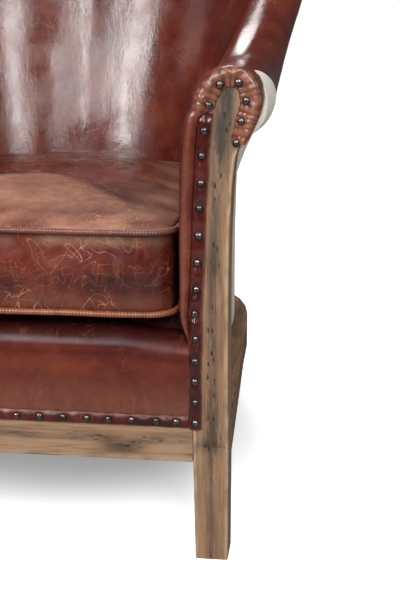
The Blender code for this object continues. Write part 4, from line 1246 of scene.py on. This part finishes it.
def fill_cushion(piece):
    """Air pressure fills the blank between its seams, then the movement is capped."""
    remesh = piece.modifiers.new("remesh", "REMESH")
    remesh.mode = "VOXEL"
    remesh.voxel_size = VOXEL * MM
    bake_modifiers(piece)
    start = [vertex.co.copy() for vertex in piece.data.vertices]
    seams = piece.vertex_groups.new(name="seams")
    for vertex in piece.data.vertices:
        x, y, z = drawn(vertex)
        at_seam = min(abs(z - WELT_LOW_Z), abs(z - WELT_TOP_Z)) < 3.5 and seam_distance(x, y) < 9.0
        resting = z < CUSHION_FLOOR_Z + 1.5
        if at_seam or resting:
            seams.add([vertex.index], 1.0, "REPLACE")
    soft = piece.modifiers.new("fill", "CLOTH")
    soft.settings.use_pressure = True
    soft.settings.uniform_pressure_force = 4.0
    soft.settings.effector_weights.gravity = 0.0
    soft.settings.vertex_group_mass = "seams"
    scene = bpy.context.scene
    for number in range(1, SIM_FRAMES + 1):
        scene.frame_set(number)
    bake_modifiers(piece)
    scene.frame_set(1)
    for vertex, before in zip(piece.data.vertices, start):
        moved = vertex.co - before
        if moved.length > SIM_CAP * MM:
            vertex.co = before + moved * (SIM_CAP * MM / moved.length)
    piece.vertex_groups.clear()


def bake_modifiers(piece):
    """Puts the modified mesh in place of the piece's own."""
    depsgraph = bpy.context.evaluated_depsgraph_get()
    mesh = bpy.data.meshes.new_from_object(piece.evaluated_get(depsgraph))
    piece.modifiers.clear()
    piece.data = mesh


SEAM_OUTLINE = cushion_outline(WALL_INSET)


def seam_distance(x, y):
    return min(math.hypot(x - px, y - py) for px, py in SEAM_OUTLINE)


CREASE = ((-50.0, 223.0), (42.0, 225.0), (128.0, 142.0), (214.0, 14.0), (239.0, -75.0))
CREASE_LINE = curve_points(CREASE, 18.0)
WALL_BULGE = 3.5
REAR_RISE = 9.0
CREASE_DROP = 3.6


def crease_distance(x, y):
    """Distance in plan from the crease across the seat, positive on its rear right side."""
    best, side = math.inf, 1.0
    for (x0, y0), (x1, y1) in zip(CREASE_LINE, CREASE_LINE[1:]):
        dx, dy = x1 - x0, y1 - y0
        t = min(max(((x - x0) * dx + (y - y0) * dy) / (dx * dx + dy * dy), 0.0), 1.0)
        away = math.hypot(x - x0 - t * dx, y - y0 - t * dy)
        if away < best:
            best = away
            side = 1.0 if dx * (y - y0) - dy * (x - x0) > 0 else -1.0
    return best, side


def sat_in(x, y, z, on_top):
    """The seat's height at a place on its top, how creased it is and how far it lies behind the crease."""
    away, side = crease_distance(x, y)
    cut = bump(away, 0.0, 4.0)
    drop = smoothstep((away * side + 4.0) / 22.0) * (1 - ease(away, 40.0, 160.0))
    z -= on_top * (CREASE_DROP * drop + 0.8 * cut)
    z += on_top * REAR_RISE * ease(y, 120.0, 220.0) * (1 - ease(y, 520.0, 70.0))
    z += on_top * (1.8 * rough(x, y, 0, 120.0, 3.0) + 0.9 * rough(x, y, 0, 36.0, 5.0))
    mark = on_top * cut * (0.5 + rough(x, y, 0, 30.0, 7.0))
    return z, mark, on_top * smoothstep((away * side + 14.0) / 30.0)


def pushed_wall(x, y, z, wall):
    """Where the cushion's front stands, with its small bulges."""
    push = wall * (1.6 * rough(x, y * 0.5, z * 1.5, 48.0, 2.0) + 1.1 * rough(x * 1.4, y, z, 18.0, 6.0))
    return min(y, max(y - push - WALL_BULGE * wall, CUSHION_FRONT_Y - 4.0)) if y < 60.0 else y


def cushion_wear(x, y, z, on_top, wall, mark, rear):
    """What is painted on the cushion at a place: worn, which on the upper wall is wear and painted sheen
    together; dark, which is painted shade low on the wall and the darker unworn rear on top; matt and
    cracked.
    """
    rubbed = on_top * (1 - rear) * (0.75 + 0.5 * rough(x, y, 0, 90.0, 11.0)) * ease(y, 10.0, 36.0)
    low_band = bump(z, WELT_LOW_Z + 14.0, 18.0) * (0.5 + 0.5 * rough(x, y, 0, 60.0, 2.0))
    # Paler band under the top piping: wear and painted sheen.
    wear_and_sheen_band = (1 - on_top) * ease(z, WELT_TOP_Z - 26.0, 14.0) * (0.6 + 0.8 * rough(x, y, 0, 45.0, 12.0))
    # Painted shade low on the front wall; on top, the unworn rear behind the crease is darker.
    dark = 0.25 * rear + 0.5 * wall * (1 - ease(z, WELT_LOW_Z + 38.0, 22.0))
    matt = ease(z, WELT_TOP_Z - 2.0, 4.0) * (1.0 - ease(y, 130.0, 190.0))
    cracked = wall * (0.55 + 0.8 * rough(x, y, 0, 110.0, 15.0))
    cracked += on_top * (0.25 * (1 - rear) + 0.45 * bump(y, 5.0, 50.0))
    worn = max(0.0, 0.95 * rubbed, 0.5 * mark, 0.4 * low_band, 0.8 * wear_and_sheen_band)
    return min(1.0, worn), dark, matt, min(1.0, max(0.0, cracked))


def settle_cushion(piece):
    """Creases, sat-in hollow and small wrinkles, kept off the deck and inside the tub."""
    wear = []
    for vertex in piece.data.vertices:
        x, y, z = drawn(vertex)
        on_top = ease(z, WELT_TOP_Z + 6.0, 16.0)
        wall = bump((z - WELT_LOW_Z) / (WELT_TOP_Z - WELT_LOW_Z), 0.5, 0.42)
        mark = rear = 0.0
        if on_top > 0:
            z, mark, rear = sat_in(x, y, z, on_top)
        if wall > 0:
            y = pushed_wall(x, y, z, wall)
        wear.append(cushion_wear(x, y, z, on_top, wall, mark, rear))
        vertex.co = Vector((x * MM, (y + FRONT_Y) * MM, max(z, CUSHION_FLOOR_Z) * MM))
    for name, values in zip(("worn", "dark", "matt", "cracked"), zip(*wear)):
        paint(piece, name, values)
    for face in piece.data.polygons:
        face.material_index = 1 if face.center.z / MM > WELT_TOP_Z - 1.0 else 0


def make_cushion(leathers):
    piece = cushion_blank(leathers["cushion"])
    fill_cushion(piece)
    smooth = piece.modifiers.new("smooth", "SUBSURF")
    smooth.levels = smooth.render_levels = 1
    bake_modifiers(piece)
    piece.data.materials.append(leathers["cushion_top"])
    settle_cushion(piece)
    piece.data.shade_smooth()
    settle(piece, ["seat_cushion"])
    make_piping("cushion_welt_bottom", WELT_LOW_Z, 3.0, leathers["piping"])
    make_piping("cushion_welt_top", WELT_TOP_Z, 8.0, leathers["dark_piping"])


def make_piping(name, z, seed, material):
    """Cord covered in leather, sewn into the cushion's seam, puckered by its stitches."""
    line = cushion_outline(WALL_INSET - WELT_RADIUS - 0.3, 160, 16)
    line = line + [line[0]]
    total = path_length(line)
    rings, worn = [], []
    count = round(total / 1.1)
    for i in range(count):
        run = total * i / count
        (x, y), (dx, dy) = along(line, run)
        pucker = math.sin(math.pi * (run / 3.9 + 0.5 * rough(run, 0, 0, 30.0, seed))) ** 2
        radius = WELT_RADIUS * (0.90 + 0.10 * pucker) + 0.12 * rough(run, 0, 0, 9.0, seed)
        middle = z + 0.9 * rough(run, 0, 0, 70.0, seed + 1)
        ring = []
        for k in range(12):
            angle = 2 * math.pi * k / 12
            out = radius * math.cos(angle)
            ring.append((x + dy * out, y - dx * out, middle + radius * math.sin(angle)))
            worn.append(min(1.0, pucker * (0.8 + 0.6 * rough(run, k, 0, 14.0, seed))))
        rings.append(ring)
    painted_leather(name + "_piping", rings, material, [name], closed=True, worn=worn)


# Under the seat

SHEET_RINGS = (1.0, 0.97, 0.9, 0.8, 0.68, 0.55, 0.42, 0.3, 0.18, 0.07)
SPRING_COVER_Z = 300.6
DECK_COVER_Z = 338.4
DUST_CLOTH_Z = 138.5
SEAT_FRONT_Y = 60.3
PAD_SECTION = ((302.4, 3.0), (304.5, 1.4), (318.0, 1.2), (333.0, 1.4), (337.4, 4.0), (338.0, 12.0))

def seat_outline(inset, front_y, stations=40, z=300.0):
    """Plan inside the tub, at an inset from the inner face."""
    half = [(x, front_y) for x in steps(0.0, INNER_FRONT_X - inset - 1.0, 20)]
    for i in range(2, stations + 1):
        u = i / stations
        half.append(tub_point(1 - u, inner_offset(u, z) - inset, 0)[:2])
    return half + [(-x, y) for x, y in reversed(half[1:-1])]


def level_sheet(name, outline, low, thick, sag, material, nodes):
    """A sheet stretched level over an outline, moved in its middle by sag."""
    centre_x = sum(x for x, _ in outline) / len(outline)
    centre_y = sum(y for _, y in outline) / len(outline)
    rings = []
    for level, order in ((low, SHEET_RINGS[::-1]), (low + thick, SHEET_RINGS)):
        for share in order:
            ring = []
            for x, y in outline:
                px, py = centre_x + (x - centre_x) * share, centre_y + (y - centre_y) * share
                free = 1 - share**2
                ring.append((px, py, level + free * (sag + 0.3 * abs(sag) * rough(px, py, 0, 60.0, 7.0))))
            rings.append(ring)
    piece = loft(name, rings, material)
    settle(piece, nodes)
    width, length = (max(side) - min(side) for side in zip(*outline))
    declare_sheet(width, length)


def make_seat_base(stuff, calico, hessian, black):
    deck = seat_outline(1.2, SEAT_FRONT_Y)
    level_sheet("spring_cover", deck, SPRING_COVER_Z, 1.2, -1.5, hessian, ["spring_hessian"])
    rings = []
    for z, inset in PAD_SECTION:
        rings.append([(x, y, z) for x, y in seat_outline(inset, SEAT_FRONT_Y + inset - 1.2)])
    pad = loft("deck_pad", rings, stuff)
    settle(pad, ["deck_stuffing"])
    level_sheet("deck_cover", deck, DECK_COVER_Z, 1.4, 0.0, calico, ["deck_cloth"])
    half = [(x, 10.0) for x in steps(0.0, 235.0, 16)]
    half += [(x, y) for x, y, _ in (tub_point(1 - i / 40, -65.0, 0) for i in range(41)) if y > 12]
    outline = half + [(-x, y) for x, y in reversed(half[1:-1])]
    level_sheet("dust_cloth", outline, DUST_CLOTH_Z, 1.0, -5.0, black, ["dust_cover"])


# Light, floor and camera


def add_area(name, place, target, size, power, slant=0.0):
    """A lamp that faces its target, turned by a slant about that line."""
    light = bpy.data.lights.new(name, "AREA")
    light.shape = "RECTANGLE"
    light.size, light.size_y = size
    light.energy = power
    obj = bpy.data.objects.new(name, light)
    obj.location = Vector(place)
    facing = (Vector(target) - Vector(place)).to_track_quat("-Z", "Y")
    obj.rotation_euler = (facing @ Quaternion((0, 0, 1), slant)).to_euler()
    bpy.context.scene.collection.objects.link(obj)


WORLD_LEVEL = 0.09
WINDOW_Y = -2.25
WINDOW_PANES = (
    (1.02, 1.78, 0.80, 1.6, 0.08, 46),
    (-0.20, 1.36, 0.22, 0.9, 0.22, 7),
    (-0.56, 1.90, 0.05, 1.3, 0.10, 4),
    (-1.10, 1.78, 0.60, 1.6, 0.20, 46),
)
LIGHTS = (
    ("side_right", (2.2, -1.0, 1.5), (0.1, 0, 0.4), (1.0, 1.4), 6),
    ("side_left", (-2.4, -0.6, 1.6), (-0.1, 0, 0.4), (1.0, 1.6), 4),
    ("rear_left", (-0.10, 1.30, 2.15), (0.35, -0.2, 0.6), (0.56, 1.3), 15),
    ("overhead", (-0.1, -0.2, 2.6), (0, 0, 0.4), (2.0, 1.6), 8),
)


def light_scene():
    """A world that is white to the camera and dim to the chair, tall windows in front, and fill lamps."""
    world = bpy.data.worlds.new("studio")
    bpy.context.scene.world = world
    world.use_nodes = True
    tree = world.node_tree
    tree.nodes.clear()
    out = tree.nodes.new("ShaderNodeOutputWorld")
    path = tree.nodes.new("ShaderNodeLightPath")
    mix = tree.nodes.new("ShaderNodeMixShader")
    tree.links.new(path.outputs["Is Camera Ray"], mix.inputs[0])
    for socket, level in ((1, WORLD_LEVEL), (2, 1.0)):
        background = tree.nodes.new("ShaderNodeBackground")
        background.inputs["Color"].default_value = (1, 1, 1, 1)
        background.inputs["Strength"].default_value = level
        tree.links.new(background.outputs[0], mix.inputs[socket])
    tree.links.new(mix.outputs[0], out.inputs["Surface"])
    for i, (x, z, width, height, slant, power) in enumerate(WINDOW_PANES):
        add_area(f"window_{i}", (x, WINDOW_Y, z), (0.0, 0.05, 0.6), (width, height), power, slant)
    for lamp in LIGHTS:
        add_area(*lamp)


FLOOR_SIZE = 6.0
FLOOR_WHITE = (0.9, 0.9, 0.9)
FLOOR_AROUND = (0.30, 0.29, 0.28)
SHADOW_MIDDLE_Y = 0.05
SHADOW_CORE = 0.18
SHADOW_END = 0.46
FLOOR_GLOW = 0.28


def make_floor():
    """White floor that keeps the chair's soft shadow and fades to pure white around it."""
    mesh = bpy.data.meshes.new("floor")
    far = FLOOR_SIZE
    mesh.from_pydata([(-far, -far, 0), (far, -far, 0), (far, far, 0), (-far, far, 0)], [], [(0, 1, 2, 3)])
    n = Nodes("floor_white")
    n.shader.inputs["Roughness"].default_value = 0.9
    n.shader.inputs["Specular IOR Level"].default_value = 0.0
    n.shader.inputs["Emission Color"].default_value = (1, 1, 1, 1)
    away = n.add("ShaderNodeVectorMath", operation="LENGTH")
    n.link(n.place(shift=(0, -SHADOW_MIDDLE_Y, 0)), away.inputs[0])
    near = n.ramp(away.outputs["Value"], SHADOW_CORE, SHADOW_END, FLOOR_GLOW, 0.82)
    glow = n.plus(near, n.ramp(away.outputs["Value"], 0.6, 2.0, 0.0, 0.5))
    seen = n.add("ShaderNodeLightPath").outputs["Is Camera Ray"]
    n.link(n.mix(seen, FLOOR_AROUND, FLOOR_WHITE), n.shader.inputs["Base Color"])
    n.link(n.times(seen, glow), n.shader.inputs["Emission Strength"])
    mesh.materials.append(n.material)
    floor = bpy.data.objects.new("floor", mesh)
    bpy.context.scene.collection.objects.link(floor)


def set_camera():
    camera = bpy.data.cameras.new("photo")
    camera.lens = CAMERA_LENS
    camera.sensor_width = 36.0
    obj = bpy.data.objects.new("photo", camera)
    x, y, z = CAMERA_PLACE
    obj.location = (x * MM, (y + FRONT_Y) * MM, z * MM)
    obj.rotation_euler = (math.pi / 2 - CAMERA_PITCH, 0, CAMERA_YAW)
    bpy.context.scene.collection.objects.link(obj)
    bpy.context.scene.camera = obj


# Assembly

LEATHERS = {
    "inside": dict(tone=-0.03, scratches=0.15, gloss=0.16, bumpy=0.20, brushed=0.9, specular=0.6,
                   mottle=0.65),
    "front": dict(tone=-0.05, scratches=0.2, gloss=0.19, bumpy=0.34, crackle=0.6,
                  rubbed=(0.27, 0.11, 0.065)),
    "strip": dict(tone=-0.17, scratches=0.1, gloss=0.16, bumpy=0.08, rubbed=(0.22, 0.07, 0.04)),
    "low_strip": dict(tone=-0.10, scratches=0.1, gloss=0.34, specular=0.35, rubbed=(0.22, 0.07, 0.04)),
    "border": dict(tone=-0.05, scratches=0.15, gloss=0.34, bumpy=0.12, coat=0.0, specular=0.28, mottle=0.55,
                   rubbed=(0.20, 0.085, 0.055)),
    "cushion": dict(tone=-0.055, scratches=0.8, gloss=0.25, coat=0.0, specular=0.5),
    "cushion_top": dict(tone=-0.05, scratches=1.0, gloss=0.30, coat=0.0, specular=0.20,
                        rubbed=(0.45, 0.225, 0.15)),
    "piping": dict(tone=0.03, scratches=0.1, gloss=0.28, rubbed=(0.42, 0.17, 0.07)),
    "dark_piping": dict(tone=-0.09, scratches=0.2, gloss=0.34, rubbed=(0.24, 0.10, 0.06)),
}
SEAM_GAP = 0.002
SHELLS = (
    ("arm_right", "arm_{}_right", 1.0, 1 - ARM_SEAM + SEAM_GAP),
    ("arm_left", "arm_{}_left", -1.0, -(1 - ARM_SEAM + SEAM_GAP)),
    ("back", "back_{}", 1 - ARM_SEAM - SEAM_GAP, -(1 - ARM_SEAM - SEAM_GAP)),
)


def both(*names):
    return [f"{name}_{side}" for name in names for side in ("right", "left")]


def finish_nodes(nodes, material):
    """A better material on CAD pieces whose shape stays."""
    for node in nodes:
        for slot in bpy.data.objects[node].material_slots:
            slot.material = material


def make_shells(leather_inside, calico):
    """The stuffed inside and the cloth outside, in three parts round the tub."""
    for name, nodes, start, end in SHELLS:
        kinds = [nodes.format("leather"), nodes.format("pad")]
        make_inside(f"inside_{name}", start, end, leather_inside, kinds)
    for name, nodes, start, end in SHELLS:
        make_cover(f"outside_{name}", start, end, calico, ["outside_" + nodes.format("cloth")])


def make_frame():
    """Posts, front legs and front rail in worn wood, and the same wood on the CAD pieces that stay."""
    post_wood = wood("wood_post", "Z", grey=0.35, holes=0.35)
    leg_wood = wood("wood_leg", "Z", tone=0.04, grey=0.15, holes=0.25, warmth=(0.34, 0.175, 0.085))
    rail_wood = wood("wood_rail", "X", grey=0.15, holes=0.3, tone=0.03)
    ring_wood = wood("wood_ring", "Y", grey=0.4, holes=0.2, tone=-0.03)
    for sign in (1, -1):
        make_post_and_leg(sign, post_wood, leg_wood)
    make_front_rail(rail_wood)
    finish_nodes(both("rear_leg", "corner_block", "arm_upright", "back_upright"), post_wood)
    finish_nodes(["back_rail", "crest_rail"], rail_wood)
    finish_nodes(both("side_rail", "arm_rail"), ring_wood)


def main():
    bpy.context.scene.view_settings.view_transform = "Standard"
    set_camera()
    light_scene()
    make_floor()
    leathers = {name: leather(name, **values) for name, values in LEATHERS.items()}
    calico = cloth("unbleached_cloth", (0.66, 0.60, 0.51), (0.82, 0.76, 0.67))
    hessian = cloth("hessian", (0.28, 0.19, 0.10), (0.42, 0.31, 0.18), threads=700.0)
    black = cloth("black_cloth", (0.010, 0.010, 0.011), (0.022, 0.021, 0.020))
    stuff = plain("stuffing", (0.32, 0.27, 0.18), (0.50, 0.44, 0.32))
    steel = metal("nail_metal", (0.065, 0.050, 0.048), (0.22, 0.185, 0.18), 0.22)
    spring = metal("spring_steel", (0.10, 0.085, 0.075), (0.26, 0.24, 0.22), 0.4)
    make_shells(leathers["inside"], calico)
    make_frame()
    make_arm_fronts(leathers, steel)
    make_border(leathers["border"])
    make_cushion(leathers)
    make_seat_base(stuff, calico, hessian, black)
    finish_nodes([f"seat_spring_{i}" for i in range(1, 10)], spring)
    finish_nodes(["seat_webbing"], hessian)


main()
